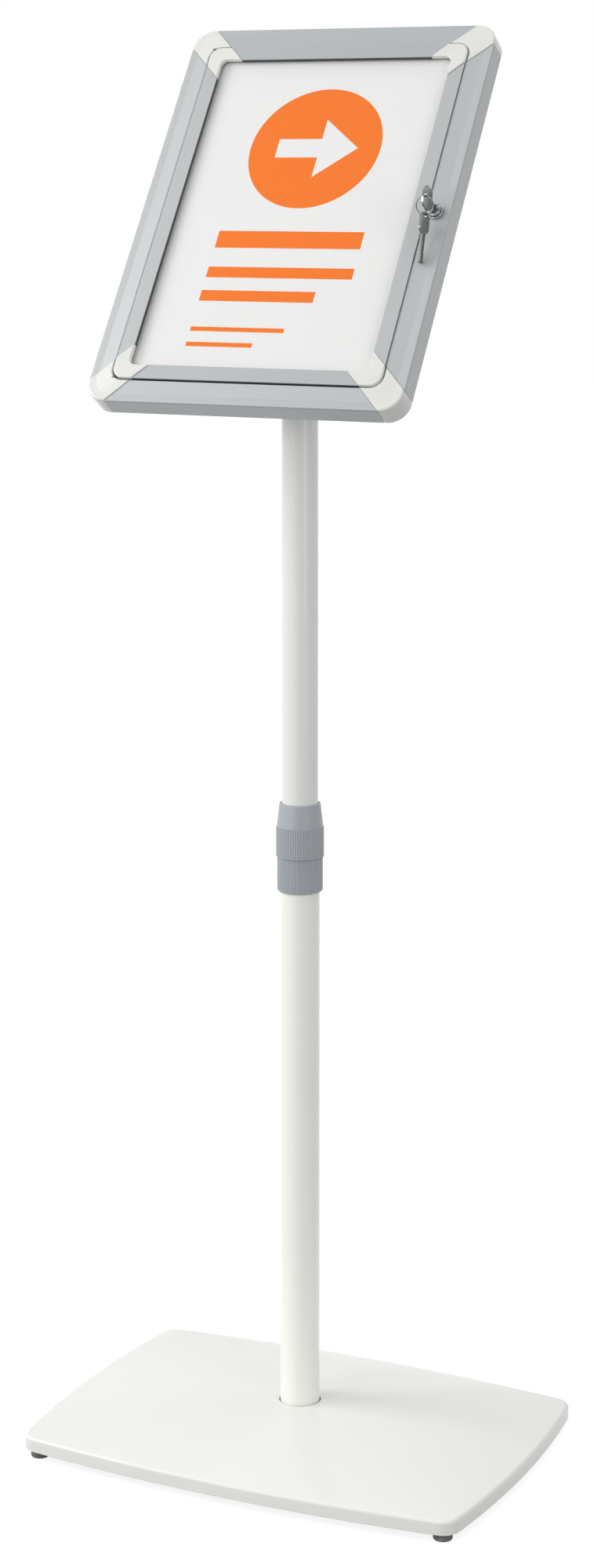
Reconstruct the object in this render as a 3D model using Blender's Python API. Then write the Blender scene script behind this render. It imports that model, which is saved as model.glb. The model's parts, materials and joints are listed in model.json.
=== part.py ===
"""Lockable display stand: weighted base, telescopic mast and hinged poster case.

Metres, +Z up. The front of the stand faces -Y and its origin is the middle of
the base's plan on the floor. The case is drawn in its own axes, X across, Y up
along the leaning face and Z out of the face, and hangs on the tilt joint.
"""

import math

import bmesh
import bpy
from mathutils import Matrix

MM = 0.001

# Clearances and resolution
GAP = 0.3 * MM
WELD = 0.00001
ROUND_STEPS = 32
SMALL_STEPS = 16
OUTLINE_STEPS = 4
ROUND_EDGE_STEPS = 3
EYE_STEPS = 14
SMOOTH_ANGLE = math.radians(32)

# Base cover, a shallow pillow pressed in sheet
BASE_WIDTH = 394.2 * MM
BASE_DEPTH = 281.4 * MM
FRONT_BULGE = 12.25 * MM
SIDE_BULGE = 9.3 * MM
BASE_CORNER = 14.7 * MM
COVER_SHEET = 2.0 * MM
COVER_EDGE_ROUND = 2.9 * MM
DOME_RISE = 16.25 * MM
SKIRT_DROP = 3.0 * MM
RIM_ROOM = 1.4 * MM
MAST_HOLE_CLEARANCE = 0.85 * MM
DOME_RINGS = (0.88, 0.68, 0.46, 0.24)

# Ballast plate, feet and the screws that hold them
PLATE_THICKNESS = 5.0 * MM
PLATE_INSET = 0.4 * MM
FOOT_HEIGHT = 9.7 * MM
FOOT_RADIUS = 7.5 * MM
FOOT_TO_SIDE = 21.1 * MM
FOOT_TO_FRONT = 22.7 * MM
FOOT_CHAMFER = 0.8 * MM
SCREW_RADIUS = 1.8 * MM
SCREW_HEAD_RADIUS = 3.6 * MM
SCREW_HEAD_HEIGHT = 2.2 * MM
SCREW_RECESS = 1.6 * MM
SCREW_BITE = 2.1 * MM
BOSS_RADIUS = 4.6 * MM

# Bolt that ties the mast to the ballast plate
BOLT_RADIUS = 4.0 * MM
BOLT_HEAD_FLATS = 13.0 * MM
BOLT_HEAD_HEIGHT = 5.0 * MM
BOLT_REACH = 22.0 * MM
WASHER_RADIUS = 10.0 * MM
WASHER_THICKNESS = 1.5 * MM
FOOT_PLUG_LENGTH = 24.0 * MM

# Telescopic mast
TUBE_RADIUS = 16.0 * MM
TUBE_WALL = 0.8 * MM
LOWER_TUBE_LENGTH = 456.7 * MM
INNER_TUBE_RADIUS = 14.8 * MM
INNER_TUBE_WALL = 0.8 * MM
UPPER_TUBE_LENGTH = 747.0 * MM
TUBE_OVERLAP = 297.0 * MM
BUSH_FLANGE = 3.0 * MM
BUSH_SPIGOT = 15.0 * MM
BUSH_WALL = 3.6 * MM

# Collar that clamps the upper tube
COLLAR_RADIUS = 18.55 * MM
COLLAR_GRIP = 18.5 * MM
COLLAR_HEIGHT = 27.9 * MM
COLLAR_ROUND = 2.0 * MM
SPIGOT_WALL = 2.1 * MM
SPIGOT_HEIGHT = 15.6 * MM
CLAMP_RADIUS = 19.45 * MM
CLAMP_CHAMFER = 0.7 * MM
CLAMP_HEIGHT = 24.3 * MM
CLAMP_CONE = 19.5 * MM
CLAMP_CONE_BASE = 18.9 * MM
CLAMP_CONE_TOP = 16.65 * MM
CLAMP_LIP = 4.9 * MM
COLLET_WALL = 1.8 * MM
COLLET_TIP_WALL = 0.8 * MM
COLLET_BAND = 2.7 * MM
COLLET_SLOT = 2.0 * MM

# Head on the mast and the tilting bracket
TILT = math.radians(33.9)
HEAD_SPIGOT = 32.0 * MM
HEAD_FLANGE = 3.9 * MM
HEAD_FLANGE_OVERHANG = 0.7 * MM
PIVOT_HEIGHT = 13.8 * MM
TONGUE_WIDTH = 16.0 * MM
TONGUE_RADIUS = 12.7 * MM
TILT_BOLT_RADIUS = 3.0 * MM
TILT_BOLT_HEAD_RADIUS = 5.5 * MM
TILT_BOLT_HEAD = 4.0 * MM
EAR_THICKNESS = 3.0 * MM
EAR_RADIUS = 12.7 * MM
EAR_FOOT = 28.0 * MM
EAR_ARC = (math.radians(145), math.radians(305))
BRACKET_REACH = 22.4 * MM
BRACKET_SHEET = 3.0 * MM
BRACKET_WIDTH = 50.0 * MM
BRACKET_ABOVE = 28.0 * MM
BRACKET_BELOW = 11.8 * MM
KNOB_RADIUS = 13.0 * MM
KNOB_LENGTH = 18.0 * MM
KNOB_LOBES = 6
LOBE_STEPS = 8
KNOB_LOBE_DEPTH = 1.3 * MM
KNOB_BORE_DEPTH = 13.0 * MM

# Poster case: sizes across the section run inward from the outer edge
CASE_WIDTH = 272.0 * MM
CASE_HEIGHT = 359.0 * MM
CASE_DEPTH = 19.3 * MM
CASE_WALL = 1.3 * MM
CASE_BAND = 6.6 * MM
CASE_FACE = 18.4 * MM
SLOPE_RISE = 1.4 * MM
CASE_LIP = 2.5 * MM
BACK_FLANGE = 8.0 * MM
EDGE_GROOVE = 0.4 * MM
EDGE_GROOVE_DEPTH = 1.6 * MM
CENTRE_ABOVE_PIVOT = 46.2 * MM
CORNER_REACH = 18.0 * MM
CORNER_PROUD = 0.8 * MM
CORNER_BLOCK = 9.0 * MM
CORNER_STEPS = 5
CASE_CORNER_RADII = (16.5 * MM, 13.0 * MM, 11.0 * MM)
TONGUE_LENGTH = 13.0 * MM
TONGUE_ROOT = 14.0 * MM
TONGUE_DEPTH = 6.4 * MM
TONGUE_ACROSS = 5.0 * MM

# Back of the case and what lies in it
PANEL_THICKNESS = 1.2 * MM
BOARD_CLEARANCE = 0.5 * MM
SHEET_MARGIN = 2.5 * MM
SHEET_THICKNESS = 0.6 * MM
SWIVEL_RADIUS = 40.0 * MM
SWIVEL_THICKNESS = 3.0 * MM
STUD_RADIUS = 4.0 * MM
STUD_HEAD_RADIUS = 8.0 * MM
STUD_HEAD = 3.0 * MM
STUD_TAIL = 2.0 * MM
RIVET_RADIUS = 2.0 * MM
RIVET_HEAD_RADIUS = 4.0 * MM
RIVET_HEAD = 1.2 * MM
RIVET_OFFSET = 28.0 * MM

# Door: sizes across the section run inward from the door's edge
DOOR_GAP = 1.5 * MM
DOOR_STRIP = 12.35 * MM
DOOR_FACE = 2.4 * MM
DOOR_SHEET = 1.5 * MM
DOOR_WALL = 1.25 * MM
DOOR_LEG = 4.8 * MM
DOOR_LEG_WALL = 1.3 * MM
DOOR_LEDGE = 2.0 * MM
DOOR_LEDGE_THICKNESS = 1.0 * MM
RETURN_DROP = 1.4 * MM
INNER_DROP = 1.3 * MM
SIGHT_CORNER = 5.5 * MM
WINDOW_THICKNESS = 2.0 * MM
DOOR_TONGUE_LENGTH = 12.0 * MM

# Door hinge pins
PIN_RADIUS = 1.2 * MM
PIN_FROM_EDGE = 6.1 * MM
PIN_DEPTH = 1.2 * MM
PIN_IN_DOOR = 5.4 * MM
PIN_IN_CASE = 6.0 * MM
PIN_BOSS = 1.8 * MM
HINGE_RELIEF = 6.5 * MM
PIN_BORE_WALL = 1.1 * MM
DOOR_BOSS_SETBACK = 2.4 * MM

# Cam lock in the right-hand side of the case
LOCK_FROM_EDGE = 12.4 * MM
LOCK_UP = -1.0 * MM
RIM_RADIUS = 7.0 * MM
RIM_TOP = 4.2 * MM
RIM_CHAMFER = 0.9 * MM
PLUG_RADIUS = 4.0 * MM
PLUG_STEP = 0.3 * MM
PLUG_STEP_DEPTH = 1.8 * MM
BARREL_WALL = 0.8 * MM
BARREL_END = 12.0 * MM
NUT_FLATS = 13.0 * MM
NUT_THICKNESS = 2.5 * MM
CAM_THICKNESS = 1.2 * MM
CAM_REACH = 11.5 * MM
CAM_HUB_RADIUS = 4.8 * MM
CAM_WIDTH = 7.0 * MM
TAIL_HALF = 1.6 * MM
TAIL_HEAD_RADIUS = 2.5 * MM
TAIL_HEAD = 0.6 * MM
PLUG_FLOOR = 0.8 * MM
KEEPER_SHEET = 1.4 * MM
KEEPER_FOOT = 3.3 * MM
KEEPER_CATCH = 6.0 * MM
KEEPER_WIDTH = 18.0 * MM

# Keys and ring
KEY_THICKNESS = 1.8 * MM
KEY_BLADE_WIDTH = 5.8 * MM
KEY_BLADE_LENGTH = 24.0 * MM
KEY_TIP_CHAMFER = 1.6 * MM
BOW_LENGTH = 16.5 * MM
BOW_WIDTH = 17.6 * MM
BOW_SHOULDER = 2.2 * MM
BOW_CROWN = 2.0 * MM
BOW_CROWN_WIDTH = 11.0 * MM
KEY_HOLE_RADIUS = 2.2 * MM
KEY_HOLE_FROM_END = 3.3 * MM
RING_RADIUS = 7.3 * MM
RING_WIRE = 0.55 * MM
RING_STEPS = 24
WIRE_SIDES = 6

# Derived heights, stacked from the floor up
PLATE_BOTTOM = FOOT_HEIGHT + GAP
PLATE_TOP = PLATE_BOTTOM + PLATE_THICKNESS
COVER_BOTTOM = PLATE_BOTTOM - SKIRT_DROP
COVER_RIM = PLATE_TOP + RIM_ROOM + COVER_SHEET
TUBE_BOTTOM = PLATE_TOP + GAP
TUBE_TOP = TUBE_BOTTOM + LOWER_TUBE_LENGTH
TUBE_BORE = TUBE_RADIUS - TUBE_WALL
INNER_BOTTOM = TUBE_TOP - TUBE_OVERLAP
INNER_TOP = INNER_BOTTOM + UPPER_TUBE_LENGTH
INNER_BORE = INNER_TUBE_RADIUS - INNER_TUBE_WALL
COLLAR_BOTTOM = TUBE_TOP - COLLAR_GRIP
COLLAR_TOP = COLLAR_BOTTOM + COLLAR_HEIGHT
COLLAR_BORE = INNER_TUBE_RADIUS + GAP
SPIGOT_RADIUS = COLLAR_BORE + SPIGOT_WALL
SPIGOT_TOP = COLLAR_TOP + SPIGOT_HEIGHT
CLAMP_BOTTOM = COLLAR_TOP + GAP
CLAMP_SHOULDER = CLAMP_BOTTOM + CLAMP_HEIGHT
CLAMP_TOP = CLAMP_SHOULDER + CLAMP_CONE
COLLET_BOTTOM = SPIGOT_TOP + GAP
COLLET_TOP = CLAMP_TOP - CLAMP_LIP - GAP
HEAD_BOTTOM = INNER_TOP + GAP
HEAD_TOP = HEAD_BOTTOM + HEAD_FLANGE
PIVOT_Z = HEAD_TOP + PIVOT_HEIGHT

# Derived depths of the case, measured from the plane of its front band
HALF_WIDTH = CASE_WIDTH / 2
HALF_HEIGHT = CASE_HEIGHT / 2
PANEL_BACK = CASE_WALL + GAP - CASE_DEPTH
PANEL_FRONT = PANEL_BACK + PANEL_THICKNESS
SWIVEL_FRONT = PANEL_BACK - GAP
SWIVEL_BACK = SWIVEL_FRONT - SWIVEL_THICKNESS
BRACKET_FRONT = SWIVEL_BACK - GAP
BRACKET_BACK = BRACKET_FRONT - BRACKET_SHEET
CENTRE_BEFORE_PIVOT = BRACKET_REACH - BRACKET_BACK
DOOR_HALF_WIDTH = HALF_WIDTH - CASE_FACE - DOOR_GAP
DOOR_HALF_HEIGHT = HALF_HEIGHT - CASE_FACE - DOOR_GAP
STRIP_BACK = DOOR_FACE - DOOR_SHEET
INNER_LEG_BACK = STRIP_BACK - INNER_DROP
WINDOW_FRONT = INNER_LEG_BACK - GAP
WINDOW_BACK = WINDOW_FRONT - WINDOW_THICKNESS
LEDGE_FRONT = WINDOW_BACK - GAP
LEDGE_BACK = LEDGE_FRONT - DOOR_LEDGE_THICKNESS
LEG_INNER = DOOR_LEG + DOOR_LEG_WALL
PAPER_FRONT = WINDOW_BACK - GAP
PAPER_BACK = PAPER_FRONT - SHEET_THICKNESS
BOARD_FRONT = PAPER_BACK - GAP
BOARD_BACK = PANEL_FRONT + GAP
HINGE_X = PIN_FROM_EDGE - DOOR_HALF_WIDTH
HINGE_Z = -PIN_DEPTH
LOCK_X = HALF_WIDTH - LOCK_FROM_EDGE
BARREL_RADIUS = PLUG_RADIUS + GAP + BARREL_WALL
CAM_FRONT = -BARREL_END - 2 * GAP
CAM_BACK = CAM_FRONT - CAM_THICKNESS
BLADE_TIP = PLUG_FLOOR - BARREL_END
BOW_BASE = BLADE_TIP + KEY_BLADE_LENGTH
BOW_END = BOW_BASE + BOW_LENGTH
KEY_HOLE_OUT = BOW_END - KEY_HOLE_FROM_END
WIRE_HANG = KEY_HOLE_RADIUS - RING_WIRE - GAP

# Sides with their quarter turns from the right-hand one, and the corners' signs in X and Y
SIDES = (("right", 0), ("top", 1), ("left", 2), ("bottom", 3))
CORNERS = (
    ("top_right", (1, 1)), ("top_left", (-1, 1)),
    ("bottom_left", (-1, -1)), ("bottom_right", (1, -1)),
)

# Axes: turned pieces lie along X, side plates are drawn in Y and Z
ALONG_X = Matrix.Rotation(math.pi / 2, 4, "Y")
SIDEWAYS = Matrix(((0, 0, 1, 0), (1, 0, 0, 0), (0, 1, 0, 0), (0, 0, 0, 1)))
ALONG_Y = Matrix.Rotation(-math.pi / 2, 4, "X")


def clear_scene():
    """Remove every object that the open scene holds."""
    for obj in list(bpy.data.objects):
        bpy.data.objects.remove(obj)


def keep(name, bm):
    """Write a bmesh to a new object, its faces turned outward."""
    bmesh.ops.remove_doubles(bm, verts=bm.verts, dist=WELD)
    bmesh.ops.dissolve_degenerate(bm, edges=bm.edges, dist=WELD)
    bmesh.ops.recalc_face_normals(bm, faces=bm.faces)
    mesh = bpy.data.meshes.new(name)
    bm.to_mesh(mesh)
    bm.free()
    obj = bpy.data.objects.new(name, mesh)
    bpy.context.scene.collection.objects.link(obj)
    return obj


def prism(name, outline, low, high, turn=None):
    """Extrude a closed outline in X and Y from low to high along Z."""
    bm = bmesh.new()
    face = bm.faces.new([bm.verts.new((x, y, low)) for x, y in outline])
    grown = bmesh.ops.extrude_face_region(bm, geom=[face])
    raised = [item for item in grown["geom"] if isinstance(item, bmesh.types.BMVert)]
    bmesh.ops.translate(bm, verts=raised, vec=(0, 0, high - low))
    if turn is not None:
        bmesh.ops.transform(bm, matrix=turn, verts=bm.verts)
    return keep(name, bm)


def box(name, x_range, y_range, z_range):
    """A block between the given limits."""
    outline = [(x_range[0], y_range[0]), (x_range[1], y_range[0])]
    outline += [(x_range[1], y_range[1]), (x_range[0], y_range[1])]
    return prism(name, outline, z_range[0], z_range[1])


def turned(name, profile, steps=ROUND_STEPS, turn=None):
    """Spin a profile of (radius, height) points about Z.

    A profile that starts on the axis is left open there; any other is a ring.
    """
    bm = bmesh.new()
    verts = [bm.verts.new((radius, 0, height)) for radius, height in profile]
    edges = [bm.edges.new(pair) for pair in zip(verts, verts[1:])]
    if profile[0][0] > 0:
        edges.append(bm.edges.new((verts[-1], verts[0])))
    bmesh.ops.spin(
        bm, geom=verts + edges, cent=(0, 0, 0), axis=(0, 0, 1),
        angle=2 * math.pi, steps=steps, use_merge=True,
    )
    if turn is not None:
        bmesh.ops.transform(bm, matrix=turn, verts=bm.verts)
    return keep(name, bm)


def rod(name, radius, low, high, steps=SMALL_STEPS, turn=None):
    """A plain cylinder on Z."""
    profile = [(0, low), (radius, low), (radius, high), (0, high)]
    return turned(name, profile, steps, turn)


def lofted(name, loops, ring=False):
    """Skin a row of loops; close it end to end as a ring, or cap both ends."""
    bm = bmesh.new()
    rows = [[bm.verts.new(point) for point in loop] for loop in loops]
    pairs = list(zip(rows, rows[1:]))
    if ring:
        pairs.append((rows[-1], rows[0]))
    else:
        bm.faces.new(rows[0])
        bm.faces.new(rows[-1])
    for near, far in pairs:
        for i, vert in enumerate(near):
            j = (i + 1) % len(near)
            bm.faces.new((vert, near[j], far[j], far[i]))
    return keep(name, bm)


def shift(obj, x=0.0, y=0.0, z=0.0):
    """Move a helper shape's mesh, not its origin."""
    obj.data.transform(Matrix.Translation((x, y, z)))
    return obj


def combine(obj, operation, tools):
    """Union with helper shapes, or cut them out, and remove the helpers."""
    for tool in tools:
        step = obj.modifiers.new(operation.lower(), "BOOLEAN")
        step.operation = operation
        step.solver = "EXACT"
        step.object = tool
    graph = bpy.context.evaluated_depsgraph_get()
    mesh = bpy.data.meshes.new_from_object(obj.evaluated_get(graph))
    obj.modifiers.clear()
    obj.data = mesh
    for tool in tools:
        bpy.data.objects.remove(tool)
    return obj


def cut(obj, *tools):
    """Take the helper shapes out of a piece."""
    return combine(obj, "DIFFERENCE", tools)


def join(obj, *tools):
    """Make the helper shapes part of a piece."""
    return combine(obj, "UNION", tools)


def finish(obj, colour, roughness, metallic=0.0, parent=None, at=(0, 0, 0)):
    """Shade a piece, give it its own material and hang it on its parent."""
    obj.data.shade_smooth()
    obj.data.set_sharp_from_angle(angle=SMOOTH_ANGLE)
    material = bpy.data.materials.new(obj.name + "_finish")
    material.use_nodes = True
    shader = material.node_tree.nodes["Principled BSDF"]
    shader.inputs["Base Color"].default_value = (*colour, 1)
    shader.inputs["Roughness"].default_value = roughness
    shader.inputs["Metallic"].default_value = metallic
    material.diffuse_color = (*colour, 1)
    obj.data.materials.clear()
    obj.data.materials.append(material)
    obj.parent = parent
    obj.location = at
    return obj


def axis_empty(name, at, parent=None, lean=0.0):
    """An empty on a joint's axis, turned about X by lean."""
    empty = bpy.data.objects.new(name, None)
    empty.empty_display_size = 0.05
    empty.parent = parent
    empty.location = at
    empty.rotation_euler = (lean, 0, 0)
    bpy.context.scene.collection.objects.link(empty)
    return empty


def circle(radius, steps, centre=(0, 0), start=0.0):
    """Points round a circle."""
    turns = [start + 2 * math.pi * i / steps for i in range(steps)]
    return [(centre[0] + radius * math.cos(t), centre[1] + radius * math.sin(t)) for t in turns]


def arc(centre, radius, start, end, steps):
    """Points along an arc, both ends included."""
    turns = [start + (end - start) * i / steps for i in range(steps + 1)]
    return [(centre[0] + radius * math.cos(t), centre[1] + radius * math.sin(t)) for t in turns]


def mirrored(quarter):
    """Four quarters from the one in +X, -Y, as one outline without doubles."""
    right = quarter + [(x, -y) for x, y in reversed(quarter)]
    whole = right + [(-x, y) for x, y in reversed(right)]
    outline = []
    for point in whole:
        if not outline or math.dist(point, outline[-1]) > WELD:
            outline.append(point)
    if math.dist(outline[0], outline[-1]) <= WELD:
        outline.pop()
    return outline


def rounded_box(half_x, half_y, radius, steps=CORNER_STEPS):
    """A rectangle's outline with round corners."""
    corner = (half_x - radius, radius - half_y)
    return mirrored(arc(corner, radius, -math.pi / 2, 0, steps))


def hexagon(flats):
    """A hexagon with a pair of flats square to X."""
    return circle(flats / math.sqrt(3), 6, start=math.pi / 6)


def base_outline(inset=0.0):
    """The base's plan: four shallow arcs that meet in small round corners."""
    half_x = BASE_WIDTH / 2
    half_y = BASE_DEPTH / 2
    chord_x = half_x - SIDE_BULGE
    chord_y = half_y - FRONT_BULGE
    front = (chord_x**2 + FRONT_BULGE**2) / (2 * FRONT_BULGE)
    side = (chord_y**2 + SIDE_BULGE**2) / (2 * SIDE_BULGE)
    front_y = front - half_y
    side_x = half_x - side
    span = math.hypot(side_x, front_y)
    reach_front = front - BASE_CORNER
    reach_side = side - BASE_CORNER
    along = (span**2 + reach_front**2 - reach_side**2) / (2 * span)
    off = math.sqrt(max(reach_front**2 - along**2, 0))
    unit = (side_x / span, -front_y / span)
    corner = (unit[0] * along - unit[1] * off, front_y + unit[1] * along + unit[0] * off)
    mate = (unit[0] * along + unit[1] * off, front_y + unit[1] * along - unit[0] * off)
    if mate[0] - mate[1] > corner[0] - corner[1]:
        corner = mate
    turn_front = math.atan2(corner[1] - front_y, corner[0])
    turn_side = math.atan2(corner[1], corner[0] - side_x)
    quarter = arc((0, front_y), front - inset, -math.pi / 2, turn_front, OUTLINE_STEPS)
    quarter += arc(corner, BASE_CORNER - inset, turn_front, turn_side, OUTLINE_STEPS)[1:]
    quarter += arc((side_x, 0), side - inset, turn_side, 0, OUTLINE_STEPS)[1:]
    return mirrored(quarter)


def dome_height(x, y):
    """Rise of the pillow above its rim at a place in the plan."""
    across = 2 * x / (BASE_WIDTH - 2 * COVER_EDGE_ROUND)
    deep = 2 * y / (BASE_DEPTH - 2 * COVER_EDGE_ROUND)
    return DOME_RISE * max(0.0, 1 - across**2) * max(0.0, 1 - deep**2)


def dome_ring(share, radius):
    """A loop of plan points between the mast hole and the rim."""
    points = []
    for x, y in base_outline(COVER_EDGE_ROUND):
        turn = math.atan2(y * BASE_WIDTH, x * BASE_DEPTH)
        hole = (radius * math.cos(turn), radius * math.sin(turn))
        points.append((hole[0] + share * (x - hole[0]), hole[1] + share * (y - hole[1])))
    return points


def cover_loops():
    """Loops of the cover from its lower edge over the dome and back below."""
    rim = COVER_RIM
    half_turn = COVER_EDGE_ROUND * (1 - math.sqrt(0.5))
    hole = TUBE_RADIUS + MAST_HOLE_CLEARANCE
    loops = []
    for inset, z in ((0, COVER_BOTTOM), (0, rim - COVER_EDGE_ROUND), (half_turn, rim - half_turn)):
        loops.append([(x, y, z) for x, y in base_outline(inset)])
    above = [1.0, *DOME_RINGS, 0.0]
    for share in above:
        ring = dome_ring(share, hole)
        loops.append([(x, y, rim + (share < 1) * dome_height(x, y)) for x, y in ring])
    for share in reversed(above):
        ring = dome_ring(share, hole)
        under = rim - COVER_SHEET
        loops.append([(x, y, under + (share < 1) * dome_height(x, y)) for x, y in ring])
    inner_round = rim - COVER_EDGE_ROUND
    loops.append([(x, y, inner_round) for x, y in base_outline(COVER_SHEET)])
    loops.append([(x, y, COVER_BOTTOM) for x, y in base_outline(COVER_SHEET)])
    return loops


def foot_places():
    """Centres of the four feet."""
    x = BASE_WIDTH / 2 - FOOT_TO_SIDE
    y = BASE_DEPTH / 2 - FOOT_TO_FRONT
    return [(x, -y), (x, y), (-x, y), (-x, -y)]


def screw_top():
    """Height to which a foot's screw bites into its boss."""
    x, y = foot_places()[0]
    return COVER_RIM - COVER_SHEET + dome_height(x, y)


def make_cover():
    """Pressed cover with the mast hole and four screw bosses."""
    cover = lofted("base_cover", cover_loops(), ring=True)
    bosses = []
    bores = []
    for x, y in foot_places():
        root = screw_top() + COVER_SHEET / 2
        bosses.append(shift(rod("boss", BOSS_RADIUS, PLATE_TOP + GAP, root), x, y))
        bore = rod("bore", SCREW_RADIUS + GAP, PLATE_BOTTOM, screw_top() + GAP)
        bores.append(shift(bore, x, y))
    join(cover, *bosses)
    cut(cover, *bores)
    return finish(cover, (0.78, 0.79, 0.76), 0.35)


def make_plate():
    """Ballast plate that the mast and the feet are bolted to."""
    plate = prism("base_weight", base_outline(COVER_SHEET + PLATE_INSET), PLATE_BOTTOM, PLATE_TOP)
    bores = [rod("bore", BOLT_RADIUS + GAP, 0, COVER_RIM)]
    for x, y in foot_places():
        bores.append(shift(rod("bore", SCREW_RADIUS + GAP, 0, COVER_RIM), x, y))
    cut(plate, *bores)
    return finish(plate, (0.08, 0.08, 0.085), 0.6, 0.7)


def make_feet():
    """Rubber feet, each held by a screw sunk in its underside."""
    bore = SCREW_RADIUS + GAP
    sink = SCREW_HEAD_RADIUS + GAP
    seat = SCREW_RECESS + SCREW_HEAD_HEIGHT
    foot = [(sink, 0), (FOOT_RADIUS - FOOT_CHAMFER, 0), (FOOT_RADIUS, FOOT_CHAMFER)]
    foot += [(FOOT_RADIUS, FOOT_HEIGHT), (bore, FOOT_HEIGHT), (bore, seat + GAP), (sink, seat + GAP)]
    top = screw_top()
    screw = [(0, SCREW_RECESS), (SCREW_HEAD_RADIUS, SCREW_RECESS), (SCREW_HEAD_RADIUS, seat)]
    screw += [(SCREW_RADIUS, seat), (SCREW_RADIUS, top), (0, top)]
    for number, (x, y) in enumerate(foot_places(), 1):
        rubber = turned(f"foot_{number}", foot, SMALL_STEPS)
        finish(rubber, (0.03, 0.03, 0.03), 0.8, at=(x, y, 0))
        fixing = turned(f"foot_screw_{number}", screw, SMALL_STEPS)
        finish(fixing, (0.6, 0.6, 0.6), 0.35, 1.0, at=(x, y, 0))


def make_mast_fixing():
    """Plug in the foot of the mast, and the bolt and washer below it."""
    bore = BOLT_RADIUS + GAP
    outer = TUBE_BORE - GAP
    top = TUBE_BOTTOM + FOOT_PLUG_LENGTH
    plug = [(bore, TUBE_BOTTOM), (outer, TUBE_BOTTOM), (outer, top), (bore, top)]
    finish(turned("mast_foot_plug", plug), (0.5, 0.5, 0.5), 0.4, 1.0)
    washer_top = PLATE_BOTTOM - GAP
    washer_low = washer_top - WASHER_THICKNESS
    washer = [(bore, washer_low), (WASHER_RADIUS, washer_low)]
    washer += [(WASHER_RADIUS, washer_top), (bore, washer_top)]
    finish(turned("mast_bolt_washer", washer, SMALL_STEPS), (0.6, 0.6, 0.6), 0.35, 1.0)
    head_top = washer_low - GAP
    bolt = prism("mast_bolt", hexagon(BOLT_HEAD_FLATS), head_top - BOLT_HEAD_HEIGHT, head_top)
    join(bolt, rod("shank", BOLT_RADIUS, head_top - GAP, TUBE_BOTTOM + BOLT_REACH))
    finish(bolt, (0.6, 0.6, 0.6), 0.35, 1.0)


def make_lower_tube():
    """Outer tube of the mast."""
    profile = [(TUBE_BORE, TUBE_BOTTOM), (TUBE_RADIUS, TUBE_BOTTOM)]
    profile += [(TUBE_RADIUS, TUBE_TOP), (TUBE_BORE, TUBE_TOP)]
    return finish(turned("lower_tube", profile), (0.75, 0.76, 0.76), 0.3)


def make_collar():
    """Collar fixed on the outer tube, with the threaded spigot above it."""
    low = TUBE_RADIUS + GAP
    seat = TUBE_TOP + GAP
    profile = [(low, COLLAR_BOTTOM), (COLLAR_RADIUS - COLLAR_ROUND, COLLAR_BOTTOM)]
    profile += arc(
        (COLLAR_RADIUS - COLLAR_ROUND, COLLAR_BOTTOM + COLLAR_ROUND), COLLAR_ROUND,
        -math.pi / 2, 0, ROUND_EDGE_STEPS,
    )[1:]
    profile += [(COLLAR_RADIUS, COLLAR_TOP), (SPIGOT_RADIUS, COLLAR_TOP)]
    profile += [(SPIGOT_RADIUS, SPIGOT_TOP), (COLLAR_BORE, SPIGOT_TOP)]
    profile += [(COLLAR_BORE, seat), (low, seat)]
    return finish(turned("collar_body", profile), (0.34, 0.355, 0.37), 0.55)


def collet_outer(z):
    """Outer radius of the collet's taper at a height."""
    start = COLLET_BOTTOM + COLLET_BAND
    share = (z - start) / (COLLET_TOP - start)
    wall = COLLET_WALL + max(share, 0) * (COLLET_TIP_WALL - COLLET_WALL)
    return COLLAR_BORE + wall


def make_collet():
    """Split ring that the clamp presses on the inner tube."""
    band = COLLET_BOTTOM + COLLET_BAND
    profile = [(COLLAR_BORE, COLLET_BOTTOM), (collet_outer(COLLET_BOTTOM), COLLET_BOTTOM)]
    profile += [(collet_outer(band), band), (collet_outer(COLLET_TOP), COLLET_TOP)]
    profile += [(COLLAR_BORE, COLLET_TOP)]
    collet = turned("collet", profile)
    half = COLLET_SLOT / 2
    slot = box("slot", (-half, half), (0, 2 * CLAMP_RADIUS), (SPIGOT_TOP, CLAMP_TOP))
    cut(collet, slot)
    return finish(collet, (0.85, 0.85, 0.82), 0.5)


def make_clamp():
    """Clamp ring that screws down over the spigot and the collet."""
    bore = SPIGOT_RADIUS + GAP
    band = COLLET_BOTTOM + COLLET_BAND
    shoulder = COLLET_TOP + GAP
    base = CLAMP_BOTTOM
    profile = [(bore, base), (CLAMP_RADIUS - CLAMP_CHAMFER, base), (CLAMP_RADIUS, base + CLAMP_CHAMFER)]
    profile += [(CLAMP_RADIUS, CLAMP_SHOULDER), (CLAMP_CONE_BASE, CLAMP_SHOULDER)]
    profile += [(CLAMP_CONE_TOP, CLAMP_TOP), (COLLAR_BORE, CLAMP_TOP), (COLLAR_BORE, shoulder)]
    profile += [(collet_outer(COLLET_TOP) + GAP, shoulder), (collet_outer(band) + GAP, band)]
    profile += [(bore, SPIGOT_TOP)]
    profile = [(radius, z - base) for radius, z in profile]
    return finish(turned("clamp_ring", profile), (0.34, 0.355, 0.37), 0.55, at=(0, 0, base))


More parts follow.
